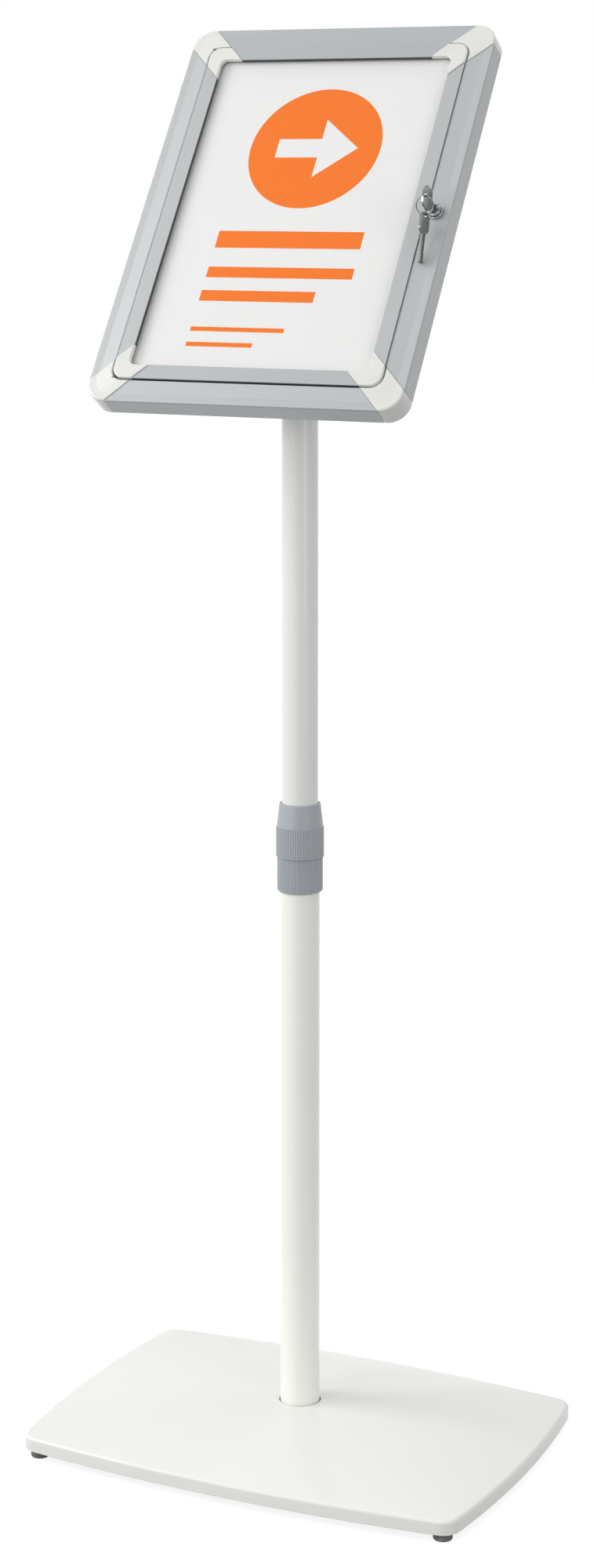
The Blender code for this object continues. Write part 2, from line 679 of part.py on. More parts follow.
def make_inner_mast():
    """Inner tube and the bush that guides its lower end."""
    profile = [(INNER_BORE, INNER_BOTTOM), (INNER_TUBE_RADIUS, INNER_BOTTOM)]
    profile += [(INNER_TUBE_RADIUS, INNER_TOP), (INNER_BORE, INNER_TOP)]
    finish(turned("upper_tube", profile), (0.78, 0.79, 0.79), 0.25)
    flange = TUBE_BORE - GAP
    spigot = INNER_BORE - GAP
    bore = spigot - BUSH_WALL
    seat = INNER_BOTTOM - GAP
    low = seat - BUSH_FLANGE
    top = seat + BUSH_SPIGOT
    bush = [(bore, low), (flange, low), (flange, seat), (spigot, seat), (spigot, top), (bore, top)]
    finish(turned("guide_bush", bush), (0.03, 0.03, 0.03), 0.5)


def make_head():
    """Head plugged in the inner tube, with the tongue of the tilt joint."""
    spigot = INNER_BORE - GAP
    flange = INNER_TUBE_RADIUS + HEAD_FLANGE_OVERHANG
    low = HEAD_BOTTOM - HEAD_SPIGOT
    profile = [(0, low), (spigot, low), (spigot, HEAD_BOTTOM), (flange, HEAD_BOTTOM)]
    profile += [(flange, HEAD_TOP), (0, HEAD_TOP)]
    head = turned("mast_head", profile)
    root = HEAD_TOP - HEAD_FLANGE / 2
    side = [(-TONGUE_RADIUS, root), (TONGUE_RADIUS, root)]
    side += arc((0, PIVOT_Z), TONGUE_RADIUS, 0, math.pi, EYE_STEPS)
    tongue = prism("tongue", side, -TONGUE_WIDTH / 2, TONGUE_WIDTH / 2, SIDEWAYS)
    join(head, tongue)
    bore = rod("bore", TILT_BOLT_RADIUS + GAP, -TONGUE_WIDTH, TONGUE_WIDTH, turn=ALONG_X)
    cut(head, shift(bore, z=PIVOT_Z))
    return finish(head, (0.2, 0.21, 0.22), 0.5)


def make_bracket(tilt_axis):
    """Bracket with two ears on the tongue and a plate behind the case."""
    inner = TONGUE_WIDTH / 2 + GAP
    outer = inner + EAR_THICKNESS
    low = -BRACKET_BELOW
    plate_y = (low, CENTRE_ABOVE_PIVOT + BRACKET_ABOVE)
    plate_z = (BRACKET_REACH, BRACKET_REACH + BRACKET_SHEET)
    half = BRACKET_WIDTH / 2
    bracket = box("tilt_bracket", (-half, half), plate_y, plate_z)
    root = BRACKET_REACH + GAP
    side = arc((0, 0), EAR_RADIUS, *EAR_ARC, EYE_STEPS)
    side += [(EAR_FOOT, root), (low + GAP, root)]
    ears = []
    for x_range in ((inner, outer), (-outer, -inner)):
        ears.append(prism("ear", side, x_range[0], x_range[1], SIDEWAYS))
    join(bracket, *ears)
    pin = rod("bore", TILT_BOLT_RADIUS + GAP, -2 * outer, 2 * outer, turn=ALONG_X)
    stud = rod("bore", STUD_RADIUS + GAP, 0, 2 * plate_z[1])
    cut(bracket, pin, shift(stud, y=CENTRE_ABOVE_PIVOT))
    return finish(bracket, (0.2, 0.21, 0.22), 0.5, parent=tilt_axis)


def make_tilt_bolt(tilt_axis):
    """Bolt of the tilt joint, its head on the left ear."""
    ear = TONGUE_WIDTH / 2 + 2 * GAP + EAR_THICKNESS
    far = ear + KNOB_BORE_DEPTH - GAP
    profile = [(0, -ear - TILT_BOLT_HEAD), (TILT_BOLT_HEAD_RADIUS, -ear - TILT_BOLT_HEAD)]
    profile += [(TILT_BOLT_HEAD_RADIUS, -ear), (TILT_BOLT_RADIUS, -ear)]
    profile += [(TILT_BOLT_RADIUS, far), (0, far)]
    bolt = turned("tilt_bolt", profile, SMALL_STEPS, ALONG_X)
    return finish(bolt, (0.6, 0.6, 0.6), 0.35, 1.0, parent=tilt_axis)


def make_knob(tilt_axis):
    """Lobed knob that clamps the tilt joint."""
    low = TONGUE_WIDTH / 2 + 2 * GAP + EAR_THICKNESS
    points = []
    steps = KNOB_LOBES * LOBE_STEPS
    for i in range(steps):
        turn = 2 * math.pi * i / steps
        radius = KNOB_RADIUS - KNOB_LOBE_DEPTH * (1 - math.cos(KNOB_LOBES * turn)) / 2
        points.append((radius * math.cos(turn), radius * math.sin(turn)))
    knob = prism("tilt_knob", points, low, low + KNOB_LENGTH, SIDEWAYS)
    bore = rod("bore", TILT_BOLT_RADIUS + GAP, 0, low + KNOB_BORE_DEPTH, turn=ALONG_X)
    cut(knob, bore)
    return finish(knob, (0.03, 0.03, 0.03), 0.5, parent=tilt_axis)


def slope_height(inward):
    """Height of the case's sloping face at a distance from its outer edge."""
    return SLOPE_RISE * (inward - CASE_BAND) / (CASE_FACE - CASE_BAND)


def case_section():
    """Extruded profile of the case, as (inward, height) points."""
    wall = CASE_WALL
    back = -CASE_DEPTH
    groove = -EDGE_GROOVE_DEPTH
    section = [(0, back), (0, groove - EDGE_GROOVE), (EDGE_GROOVE, groove - EDGE_GROOVE)]
    section += [(EDGE_GROOVE, groove), (0, groove), (0, 0), (CASE_BAND, 0)]
    section += [(CASE_FACE, SLOPE_RISE), (CASE_FACE, -CASE_LIP), (CASE_FACE - wall, -CASE_LIP)]
    section += [(CASE_FACE - wall, slope_height(CASE_FACE - wall) - wall), (CASE_BAND, -wall)]
    section += [(wall, -wall), (wall, back + wall), (BACK_FLANGE, back + wall), (BACK_FLANGE, back)]
    return section


def case_corner_section():
    """Section of a cast corner of the case, proud of the profiles."""
    wall = CASE_WALL
    back = -CASE_DEPTH
    proud = CORNER_PROUD
    section = [(0, back), (0, 0), (proud, proud), (CASE_BAND, proud)]
    section += [(CASE_FACE - proud / 2, SLOPE_RISE + proud), (CASE_FACE, SLOPE_RISE)]
    section += [(CASE_FACE, -CASE_LIP), (CASE_FACE - wall, -CASE_LIP)]
    section += [(CASE_FACE - wall, slope_height(CASE_FACE - wall) - wall)]
    section += [(BACK_FLANGE, -wall), (BACK_FLANGE, -CORNER_BLOCK), (wall, -CORNER_BLOCK)]
    section += [(wall, back + wall), (BACK_FLANGE, back + wall), (BACK_FLANGE, back)]
    return section


def door_section(proud=0.0):
    """Section of the door's frame, as (inward, height) points."""
    top = DOOR_FACE + proud
    back = STRIP_BACK
    inner = DOOR_STRIP - DOOR_WALL
    section = [(0, back - RETURN_DROP), (0, DOOR_FACE)]
    if proud:
        section += [(proud, top), (DOOR_STRIP - proud, top)]
    section += [(DOOR_STRIP, DOOR_FACE), (DOOR_STRIP, INNER_LEG_BACK), (inner, INNER_LEG_BACK)]
    section += [(inner, back), (LEG_INNER, back), (LEG_INNER, LEDGE_FRONT)]
    section += [(LEG_INNER + DOOR_LEDGE, LEDGE_FRONT), (LEG_INNER + DOOR_LEDGE, LEDGE_BACK)]
    section += [(DOOR_LEG, LEDGE_BACK), (DOOR_LEG, back), (DOOR_WALL, back)]
    section += [(DOOR_WALL, back - RETURN_DROP)]
    return section


def quarter_turn(turns):
    """A turn about the case's normal by quarter circles."""
    return Matrix.Rotation(turns * math.pi / 2, 4, "Z")


def member(name, section, half_across, half_along, reach, turns):
    """A straight frame member between two corners, its ends cut at 45 degrees."""
    loops = []
    for end in (-1, 1):
        loop = []
        for inward, height in section:
            along = end * (half_along - reach - inward - GAP)
            loop.append((half_across - inward, along, height))
        loops.append(loop)
    piece = lofted(name, loops)
    piece.data.transform(quarter_turn(turns))
    return piece


def corner(name, section, half_x, half_y, reach, radius_at, sides):
    """A frame corner: the section swept from one cut round to the other.

    reach is how far it runs along each side at its outer edge, and sides holds
    the signs of the corner in X and Y.
    """
    loops = []
    count = CORNER_STEPS + 1
    for station in range(count + 2):
        loop = []
        for inward, height in section:
            radius = radius_at(inward)
            if station == 0:
                x, y = half_x - inward, half_y - reach - inward
            elif station == count + 1:
                x, y = half_x - reach - inward, half_y - inward
            else:
                turn = math.pi / 2 * (station - 1) / CORNER_STEPS
                x = half_x - inward - radius * (1 - math.cos(turn))
                y = half_y - inward - radius * (1 - math.sin(turn))
            loop.append((sides[0] * x, sides[1] * y, height))
        loops.append(loop)
    return lofted(name, loops)


def corner_tongues(half_x, half_y, x_sign, y_sign, root, tip, across, heights):
    """Two tongues that run from a corner into the hollow profiles."""
    upright_x = sorted((x_sign * (half_x - across[0]), x_sign * (half_x - across[1])))
    upright_y = sorted((y_sign * (half_y - root), y_sign * (half_y - tip)))
    cross_x = sorted((x_sign * (half_x - root), x_sign * (half_x - tip)))
    cross_y = sorted((y_sign * (half_y - across[0]), y_sign * (half_y - across[1])))
    upright = box("tongue", upright_x, upright_y, heights)
    cross = box("tongue", cross_x, cross_y, heights)
    return upright, cross


def case_radius(inward):
    """Corner radius of the case at a distance from its outer edge."""
    outer, band, opening = CASE_CORNER_RADII
    if inward < CASE_BAND:
        return outer + (band - outer) * inward / CASE_BAND
    return band + (opening - band) * (inward - CASE_BAND) / (CASE_FACE - CASE_BAND)


def door_radius(inward):
    """Corner radius of the door at a distance from its edge."""
    outer = CASE_CORNER_RADII[2] - DOOR_GAP
    return outer + (SIGHT_CORNER - outer) * inward / DOOR_STRIP


def halves(turns, half_x, half_y):
    """Half sizes across and along a side."""
    return (half_x, half_y) if turns % 2 == 0 else (half_y, half_x)


def make_case_frame(case_axis):
    """Four case profiles and the four corners that plug into them."""
    for side, turns in SIDES:
        across, along = halves(turns, HALF_WIDTH, HALF_HEIGHT)
        piece = member(f"case_profile_{side}", case_section(), across, along, CORNER_REACH, turns)
        if side == "right":
            hole = rod("hole", BARREL_RADIUS + GAP, -2 * CASE_LIP, 2 * RIM_TOP)
            cut(piece, shift(hole, LOCK_X, LOCK_UP))
        finish(piece, (0.55, 0.565, 0.575), 0.4, 0.6, parent=case_axis)
    across = (CASE_WALL + GAP, CASE_WALL + GAP + TONGUE_ACROSS)
    heights = (-CASE_WALL - GAP - TONGUE_DEPTH, -CASE_WALL - GAP)
    tip = CORNER_REACH + across[1] + TONGUE_LENGTH
    for place, sides in CORNERS:
        piece = corner(
            f"case_corner_{place}", case_corner_section(), HALF_WIDTH, HALF_HEIGHT,
            CORNER_REACH, case_radius, sides,
        )
        tongues = corner_tongues(HALF_WIDTH, HALF_HEIGHT, *sides, TONGUE_ROOT, tip, across, heights)
        join(piece, *tongues)
        if sides[0] < 0:
            add_pin_seat(piece, sides[1])
        finish(piece, (0.82, 0.82, 0.8), 0.4, parent=case_axis)


def add_pin_seat(piece, y_sign):
    """Boss and blind hole for a hinge pin, and room for the door to swing."""
    edge = HALF_HEIGHT - CASE_FACE
    end = edge + PIN_IN_CASE
    half = PIN_RADIUS + PIN_BOSS
    x_range = (HINGE_X - half, HINGE_X + half)
    y_range = sorted((y_sign * (edge + GAP), y_sign * (end + CASE_WALL)))
    boss = box("boss", x_range, y_range, (HINGE_Z - half, HINGE_Z + CASE_WALL))
    join(piece, boss)
    hole = rod("hole", PIN_RADIUS + GAP, edge - PIN_IN_CASE, end + GAP, turn=ALONG_Y)
    swing = (DOOR_HALF_HEIGHT - 2 * HINGE_RELIEF, DOOR_HALF_HEIGHT + GAP)
    relief = rod("relief", HINGE_RELIEF, *swing, ROUND_STEPS, ALONG_Y)
    for tool in (hole, relief):
        if y_sign < 0:
            tool.data.transform(Matrix.Rotation(math.pi, 4, "X"))
        shift(tool, HINGE_X, 0, HINGE_Z)
    cut(piece, hole, relief)


def make_hinge_pins(case_axis):
    """Pins that stand out of the case corners into the door."""
    edge = HALF_HEIGHT - CASE_FACE
    start = DOOR_HALF_HEIGHT - PIN_IN_DOOR
    for name, y_sign in (("top", 1), ("bottom", -1)):
        low, high = sorted((y_sign * start, y_sign * (edge + PIN_IN_CASE)))
        pin = rod(f"hinge_pin_{name}", PIN_RADIUS, low, high, turn=ALONG_Y)
        shift(pin, HINGE_X, 0, HINGE_Z)
        finish(pin, (0.6, 0.6, 0.6), 0.3, 1.0, parent=case_axis)


def make_case_back(case_axis):
    """Back panel, swivel plate and the rivets and stud that join them."""
    steel = (0.6, 0.6, 0.6)
    half_x = HALF_WIDTH - CASE_WALL - GAP
    half_y = HALF_HEIGHT - CASE_WALL - GAP
    stud_bore = STUD_RADIUS + GAP
    rivet_bore = RIVET_RADIUS + GAP
    outline = rounded_box(half_x, half_y, case_radius(CASE_WALL))
    panel = prism("back_panel", outline, PANEL_BACK, PANEL_FRONT)
    plate = prism("swivel_plate", circle(SWIVEL_RADIUS, ROUND_STEPS), SWIVEL_BACK, SWIVEL_FRONT)
    for piece in (panel, plate):
        bores = [rod("bore", stud_bore, -CASE_DEPTH * 2, 0)]
        for side in (-1, 1):
            bore = rod("bore", rivet_bore, -CASE_DEPTH * 2, 0)
            bores.append(shift(bore, side * RIVET_OFFSET))
        cut(piece, *bores)
    finish(panel, (0.62, 0.63, 0.64), 0.45, 0.6, parent=case_axis)
    finish(plate, (0.2, 0.21, 0.22), 0.5, parent=case_axis)
    head = BOARD_BACK + STUD_HEAD
    tail = BRACKET_BACK - GAP
    profile = [(0, tail - STUD_TAIL), (STUD_HEAD_RADIUS, tail - STUD_TAIL), (STUD_HEAD_RADIUS, tail)]
    profile += [(STUD_RADIUS, tail), (STUD_RADIUS, BOARD_BACK), (STUD_HEAD_RADIUS, BOARD_BACK)]
    profile += [(STUD_HEAD_RADIUS, head), (0, head)]
    finish(turned("swivel_bolt", profile, SMALL_STEPS), steel, 0.35, 1.0, parent=case_axis)
    head = BOARD_BACK + RIVET_HEAD
    profile = [(0, SWIVEL_BACK + GAP), (RIVET_RADIUS, SWIVEL_BACK + GAP), (RIVET_RADIUS, BOARD_BACK)]
    profile += [(RIVET_HEAD_RADIUS, BOARD_BACK), (RIVET_HEAD_RADIUS, head), (0, head)]
    for name, side in (("right", 1), ("left", -1)):
        rivet = turned(f"swivel_rivet_{name}", profile, SMALL_STEPS)
        finish(rivet, steel, 0.35, 1.0, parent=case_axis, at=(side * RIVET_OFFSET, 0, 0))


def make_poster(case_axis):
    """Backing board with pockets for the fixings, and the sheet on it."""
    half_x = DOOR_HALF_WIDTH - LEG_INNER - DOOR_LEDGE - BOARD_CLEARANCE
    half_y = DOOR_HALF_HEIGHT - LEG_INNER - DOOR_LEDGE - BOARD_CLEARANCE
    outline = rounded_box(half_x, half_y, door_radius(LEG_INNER + DOOR_LEDGE))
    board = prism("backing_board", outline, BOARD_BACK, BOARD_FRONT)
    pockets = [rod("pocket", STUD_HEAD_RADIUS + GAP, -CASE_DEPTH, BOARD_BACK + STUD_HEAD + GAP)]
    for side in (-1, 1):
        pocket = rod("pocket", RIVET_HEAD_RADIUS + GAP, -CASE_DEPTH, BOARD_BACK + RIVET_HEAD + GAP)
        pockets.append(shift(pocket, side * RIVET_OFFSET))
    cut(board, *pockets)
    finish(board, (0.75, 0.75, 0.74), 0.8, parent=case_axis)
    half_x -= SHEET_MARGIN
    half_y -= SHEET_MARGIN
    sheet = box("insert_sheet", (-half_x, half_x), (-half_y, half_y), (PAPER_BACK, PAPER_FRONT - GAP / 2))
    finish(sheet, (0.83, 0.83, 0.82), 0.6, parent=case_axis)


def make_door(door_axis, at):
    """Door frame, its corners with pin holes, the window and the keeper."""
    for side, turns in SIDES:
        across, along = halves(turns, DOOR_HALF_WIDTH, DOOR_HALF_HEIGHT)
        piece = member(f"door_profile_{side}", door_section(), across, along, CORNER_REACH, turns)
        finish(piece, (0.5, 0.515, 0.52), 0.4, 0.6, parent=door_axis, at=at)
    across = (DOOR_WALL + GAP, DOOR_LEG - GAP)
    heights = (STRIP_BACK - RETURN_DROP - GAP, STRIP_BACK - GAP)
    tip = CORNER_REACH + DOOR_LEG + DOOR_TONGUE_LENGTH
    for place, sides in CORNERS:
        piece = corner(
            f"door_corner_{place}", door_section(CORNER_PROUD), DOOR_HALF_WIDTH,
            DOOR_HALF_HEIGHT, CORNER_REACH, door_radius, sides,
        )
        root = DOOR_LEG + DOOR_LEG_WALL / 2
        tongues = corner_tongues(
            DOOR_HALF_WIDTH, DOOR_HALF_HEIGHT, *sides, root, tip, across, heights
        )
        join(piece, *tongues)
        if sides[0] < 0:
            add_pin_bore(piece, sides[1])
        finish(piece, (0.82, 0.82, 0.8), 0.4, parent=door_axis, at=at)
    half_x = DOOR_HALF_WIDTH - LEG_INNER - GAP
    half_y = DOOR_HALF_HEIGHT - LEG_INNER - GAP
    outline = rounded_box(half_x, half_y, door_radius(LEG_INNER) + GAP)
    window = prism("window", outline, WINDOW_BACK, WINDOW_FRONT)
    finish(window, (0.9, 0.92, 0.92), 0.05, parent=door_axis, at=at)
    make_keeper(door_axis, at)


def add_pin_bore(piece, y_sign):
    """Boss and hole for a hinge pin in a left-hand door corner."""
    half = PIN_RADIUS + GAP + PIN_BORE_WALL
    low = DOOR_HALF_HEIGHT - LEG_INNER
    high = DOOR_HALF_HEIGHT - DOOR_BOSS_SETBACK
    x_range = (HINGE_X - half, HINGE_X + half)
    y_range = sorted((y_sign * low, y_sign * high))
    join(piece, box("boss", x_range, y_range, (LEDGE_BACK, STRIP_BACK + GAP)))
    hole = rod("hole", PIN_RADIUS + GAP, low - CASE_WALL, DOOR_HALF_HEIGHT + CASE_WALL, turn=ALONG_Y)
    if y_sign < 0:
        hole.data.transform(Matrix.Rotation(math.pi, 4, "X"))
    cut(piece, shift(hole, HINGE_X, 0, HINGE_Z))


def make_keeper(door_axis, at):
    """Hooked strip on the door behind which the lock's cam turns."""
    inner = DOOR_HALF_WIDTH - LEG_INNER - DOOR_LEDGE
    foot = LEDGE_BACK - GAP
    catch = CAM_BACK - GAP
    side = [(inner, foot), (inner, catch - KEEPER_SHEET), (inner + KEEPER_CATCH, catch - KEEPER_SHEET)]
    side += [(inner + KEEPER_CATCH, catch), (inner + KEEPER_SHEET, catch)]
    side += [(inner + KEEPER_SHEET, foot - KEEPER_SHEET), (inner + KEEPER_FOOT, foot - KEEPER_SHEET)]
    side += [(inner + KEEPER_FOOT, foot)]
    turn = Matrix(((1, 0, 0, 0), (0, 0, 1, 0), (0, 1, 0, 0), (0, 0, 0, 1)))
    low = LOCK_UP - KEEPER_WIDTH / 2
    keeper = prism("keeper", side, low, low + KEEPER_WIDTH, turn)
    return finish(keeper, (0.6, 0.6, 0.6), 0.4, 1.0, parent=door_axis, at=at)


def make_lock_body(case_axis):
    """Barrel through the sloping face, seated on its rim, and its nut."""
    bore = PLUG_RADIUS + GAP
    mouth = bore - PLUG_STEP
    step = RIM_TOP - PLUG_STEP_DEPTH
    profile = [(bore, -BARREL_END), (BARREL_RADIUS, -BARREL_END), (BARREL_RADIUS, 0), (RIM_RADIUS, 0)]
    profile += [(RIM_RADIUS, RIM_TOP - RIM_CHAMFER), (RIM_RADIUS - RIM_CHAMFER, RIM_TOP)]
    profile += [(mouth, RIM_TOP), (mouth, step), (bore, step)]
    body = turned("lock_body", profile, ROUND_STEPS)
    for vert in body.data.vertices:
        if abs(vert.co.z) < WELD:
            vert.co.z = max(slope_height(LOCK_FROM_EDGE - vert.co.x), 0) + GAP
    finish(body, (0.75, 0.75, 0.74), 0.2, 1.0, parent=case_axis, at=(LOCK_X, LOCK_UP, 0))
    top = -CASE_LIP - GAP
    nut = prism("lock_nut", hexagon(NUT_FLATS), top - NUT_THICKNESS, top)
    cut(nut, rod("bore", BARREL_RADIUS + GAP, -BARREL_END, RIM_TOP, ROUND_STEPS))
    finish(nut, (0.6, 0.6, 0.6), 0.35, 1.0, parent=case_axis, at=(LOCK_X, LOCK_UP, 0))


def make_plug(lock_axis):
    """Keyed plug with the square tail that carries the cam."""
    end = -BARREL_END - GAP
    step = RIM_TOP - PLUG_STEP_DEPTH - GAP
    front = RIM_TOP - GAP
    neck = PLUG_RADIUS - PLUG_STEP
    profile = [(0, end), (PLUG_RADIUS, end), (PLUG_RADIUS, step), (neck, step), (neck, front), (0, front)]
    plug = turned("lock_plug", profile, ROUND_STEPS)
    tail_end = CAM_BACK - GAP
    tail = box("tail", (-TAIL_HALF, TAIL_HALF), (-TAIL_HALF, TAIL_HALF), (tail_end - GAP, end + GAP))
    join(plug, tail)
    join(plug, rod("head", TAIL_HEAD_RADIUS, tail_end - TAIL_HEAD, tail_end))
    half_x = KEY_THICKNESS / 2 + GAP
    half_y = KEY_BLADE_WIDTH / 2 + GAP
    cut(plug, box("slot", (-half_x, half_x), (-half_y, half_y), (BLADE_TIP - GAP, 2 * RIM_TOP)))
    return finish(plug, (0.7, 0.7, 0.69), 0.25, 1.0, parent=lock_axis)


def make_cam(lock_axis):
    """Cam that turns behind the keeper; at rest it points up, unlocked."""
    half = CAM_WIDTH / 2
    open_turn = math.asin(half / CAM_HUB_RADIUS)
    start = math.pi / 2 + open_turn
    end = math.pi * 5 / 2 - open_turn
    outline = arc((0, 0), CAM_HUB_RADIUS, start, end, EYE_STEPS)
    outline += [(half, CAM_REACH), (-half, CAM_REACH)]
    cam = prism("lock_cam", outline, CAM_BACK, CAM_FRONT)
    hole = TAIL_HALF + GAP
    cut(cam, box("hole", (-hole, hole), (-hole, hole), (CAM_BACK - CASE_WALL, CAM_FRONT + CASE_WALL)))
    return finish(cam, (0.6, 0.6, 0.6), 0.35, 1.0, parent=lock_axis)


def make_key(name, parent, at):
    """Flat key in Y and Z: blade tip down, hexagonal bow with its hole up."""
    blade = KEY_BLADE_WIDTH / 2
    tip = BLADE_TIP
    bow = BOW_WIDTH / 2
    half = [(blade - KEY_TIP_CHAMFER, tip), (blade, tip + KEY_TIP_CHAMFER), (blade, BOW_BASE)]
    half += [(bow, BOW_BASE + BOW_SHOULDER), (bow, BOW_END - BOW_CROWN), (BOW_CROWN_WIDTH / 2, BOW_END)]
    outline = half + [(-y, z) for y, z in reversed(half)]
    key = prism(name, outline, -KEY_THICKNESS / 2, KEY_THICKNESS / 2, SIDEWAYS)
    hole = rod("hole", KEY_HOLE_RADIUS, -BOW_WIDTH, BOW_WIDTH, turn=ALONG_X)
    cut(key, shift(hole, z=KEY_HOLE_OUT))
    return finish(key, (0.62, 0.62, 0.61), 0.3, 1.0, parent=parent, at=at)


def spare_lean():
    """Lean of the spare key from the case's face, its blade just off the face."""
    across = KEY_BLADE_WIDTH / 2
    along = KEY_HOLE_OUT + WIRE_HANG - BLADE_TIP - KEY_TIP_CHAMFER
    drop = WIRE_HANG + 2 * RING_RADIUS
    height = KEY_HOLE_OUT - drop * math.sin(TILT)
    rest = slope_height(LOCK_FROM_EDGE + KEY_THICKNESS) + GAP
    return math.asin((height - rest) / math.hypot(along, across)) - math.atan2(across, along)


def make_ring_and_spare(lock_axis):
    """Ring through the key in the lock, and the spare key that hangs on it."""
    hole = (0, -WIRE_HANG * math.cos(TILT), KEY_HOLE_OUT - WIRE_HANG * math.sin(TILT))
    ring_axis = axis_empty("ring_axis", hole, lock_axis, TILT - math.pi / 2)
    wire = circle(RING_WIRE, WIRE_SIDES, (RING_RADIUS, 0))
    ring = turned("key_ring", wire, RING_STEPS, Matrix.Rotation(math.pi / 2, 4, "X"))
    shift(ring, z=-RING_RADIUS)
    finish(ring, (0.7, 0.7, 0.69), 0.2, 1.0, parent=ring_axis)
    spare_axis = axis_empty("spare_axis", (0, 0, -2 * RING_RADIUS), ring_axis, spare_lean() - TILT)
    make_key("spare_key", spare_axis, (0, 0, -KEY_HOLE_OUT - WIRE_HANG))


def build():
    """Build the stand from the floor up."""
    clear_scene()
    make_cover()
    make_plate()
    make_feet()
    make_mast_fixing()
    make_lower_tube()
    make_collar()
    make_collet()
    make_clamp()
    make_inner_mast()
    make_head()
    tilt_axis = axis_empty("tilt_axis", (0, 0, PIVOT_Z), lean=math.pi / 2 - TILT)
    make_bracket(tilt_axis)
    make_tilt_bolt(tilt_axis)
    make_knob(tilt_axis)
    case_axis = axis_empty("case_axis", (0, CENTRE_ABOVE_PIVOT, CENTRE_BEFORE_PIVOT), tilt_axis)
    make_case_frame(case_axis)
    make_hinge_pins(case_axis)
    make_case_back(case_axis)
    make_poster(case_axis)
    hinge = (HINGE_X, 0, HINGE_Z)
    door_axis = axis_empty("door_axis", hinge, case_axis)
    make_door(door_axis, tuple(-value for value in hinge))
    make_lock_body(case_axis)
    lock_axis = axis_empty("lock_axis", (LOCK_X, LOCK_UP, 0), case_axis)
    make_plug(lock_axis)
    make_cam(lock_axis)
    make_key("key", lock_axis, (0, 0, 0))
    make_ring_and_spare(lock_axis)
    bpy.context.view_layer.update()


build()
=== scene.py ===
"""Looks of a lockable display stand: weighted base, telescopic mast and tilting poster case.

Every size is in metres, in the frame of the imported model: the front of the stand
faces -Y, +Z is up and the origin is the middle of the base's plan on the floor.
"""

import json
import logging
import math
from dataclasses import dataclass, field
from enum import Enum
from functools import partial
from typing import Callable, Iterable, Sequence

import bmesh
import bpy
from mathutils import Matrix, Vector

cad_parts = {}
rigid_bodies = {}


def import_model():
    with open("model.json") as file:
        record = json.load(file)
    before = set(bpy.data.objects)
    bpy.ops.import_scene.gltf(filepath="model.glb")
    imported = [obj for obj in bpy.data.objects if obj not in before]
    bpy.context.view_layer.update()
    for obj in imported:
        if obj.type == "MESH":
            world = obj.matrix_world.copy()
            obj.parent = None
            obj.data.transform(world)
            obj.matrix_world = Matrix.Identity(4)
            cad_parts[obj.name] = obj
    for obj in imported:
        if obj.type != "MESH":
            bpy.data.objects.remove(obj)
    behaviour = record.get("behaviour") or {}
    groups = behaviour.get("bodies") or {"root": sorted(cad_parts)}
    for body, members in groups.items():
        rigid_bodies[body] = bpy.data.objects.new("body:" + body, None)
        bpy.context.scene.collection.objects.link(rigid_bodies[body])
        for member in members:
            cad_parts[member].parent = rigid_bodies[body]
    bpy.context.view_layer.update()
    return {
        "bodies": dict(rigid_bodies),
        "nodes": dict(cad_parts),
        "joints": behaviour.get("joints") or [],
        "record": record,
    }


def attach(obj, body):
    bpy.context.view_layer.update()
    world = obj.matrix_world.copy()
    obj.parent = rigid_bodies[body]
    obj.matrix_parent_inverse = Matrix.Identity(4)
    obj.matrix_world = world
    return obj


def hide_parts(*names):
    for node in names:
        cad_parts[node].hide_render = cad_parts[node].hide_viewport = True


LOG = logging.getLogger("display_stand")

Colour = tuple[float, float, float]
Point = tuple[float, float, float]
Plan = tuple[float, float]
Section = list[Plan]
Shape = bmesh.types.BMesh
Edge = bmesh.types.BMEdge
Material = bpy.types.Material
Socket = bpy.types.NodeSocket

MM = 0.001
GAP = 0.3 * MM
WELD = 0.000005
QUARTER = math.pi / 2
TILT = math.radians(33.9)

# Angles above which an edge shades sharp, by kind of piece, and above which a fold is eased
RAIL_CREASE = math.radians(24)
CAP_CREASE = math.radians(30)
RIB_CREASE = math.radians(48)
SHEET_CREASE = math.radians(20)
FOLD = 1.2

# From the axes in which a shape is drawn, to those in which it stands
ALONG_X = Matrix.Rotation(QUARTER, 4, "Y")
ALONG_Y = Matrix.Rotation(-QUARTER, 4, "X")
SIDEWAYS = Matrix(((0, 0, 1, 0), (1, 0, 0, 0), (0, 1, 0, 0), (0, 0, 0, 1)))
LENGTHWAYS = Matrix(((1, 0, 0, 0), (0, 0, 1, 0), (0, 1, 0, 0), (0, 0, 0, 1)))


class Body(Enum):
    """Moving groups of the stand."""

    BASE = "base"
    CLAMP = "clamp"
    SLIDER = "slider"
    MAST = "mast"
    HEAD = "head"
    KNOB = "knob"
    CASE = "case"
    DOOR = "door"
    LOCK = "lock"
    RING = "ring"
    SPARE = "spare"


class Grain(Enum):
    """Direction in which a metal's drawing lines run."""

    ACROSS = "across the case"
    UPWARD = "up the case"
    UPRIGHT = "up the mast"


class Side(Enum):
    """Sides of the case, with the quarter turns from the right-hand one."""

    RIGHT = 0
    TOP = 1
    LEFT = 2
    BOTTOM = 3

    def turn(self) -> Matrix:
        """From the right-hand side to this one."""
        return turned(self.value * QUARTER, "Z")


class Corner(Enum):
    """Corners of the case and the door, with their signs across and up."""

    TOP_RIGHT = (1, 1)
    TOP_LEFT = (-1, 1)
    BOTTOM_RIGHT = (1, -1)
    BOTTOM_LEFT = (-1, -1)


class Step(Enum):
    """What tools do to a shape."""

    CUT = "DIFFERENCE"
    JOIN = "UNION"


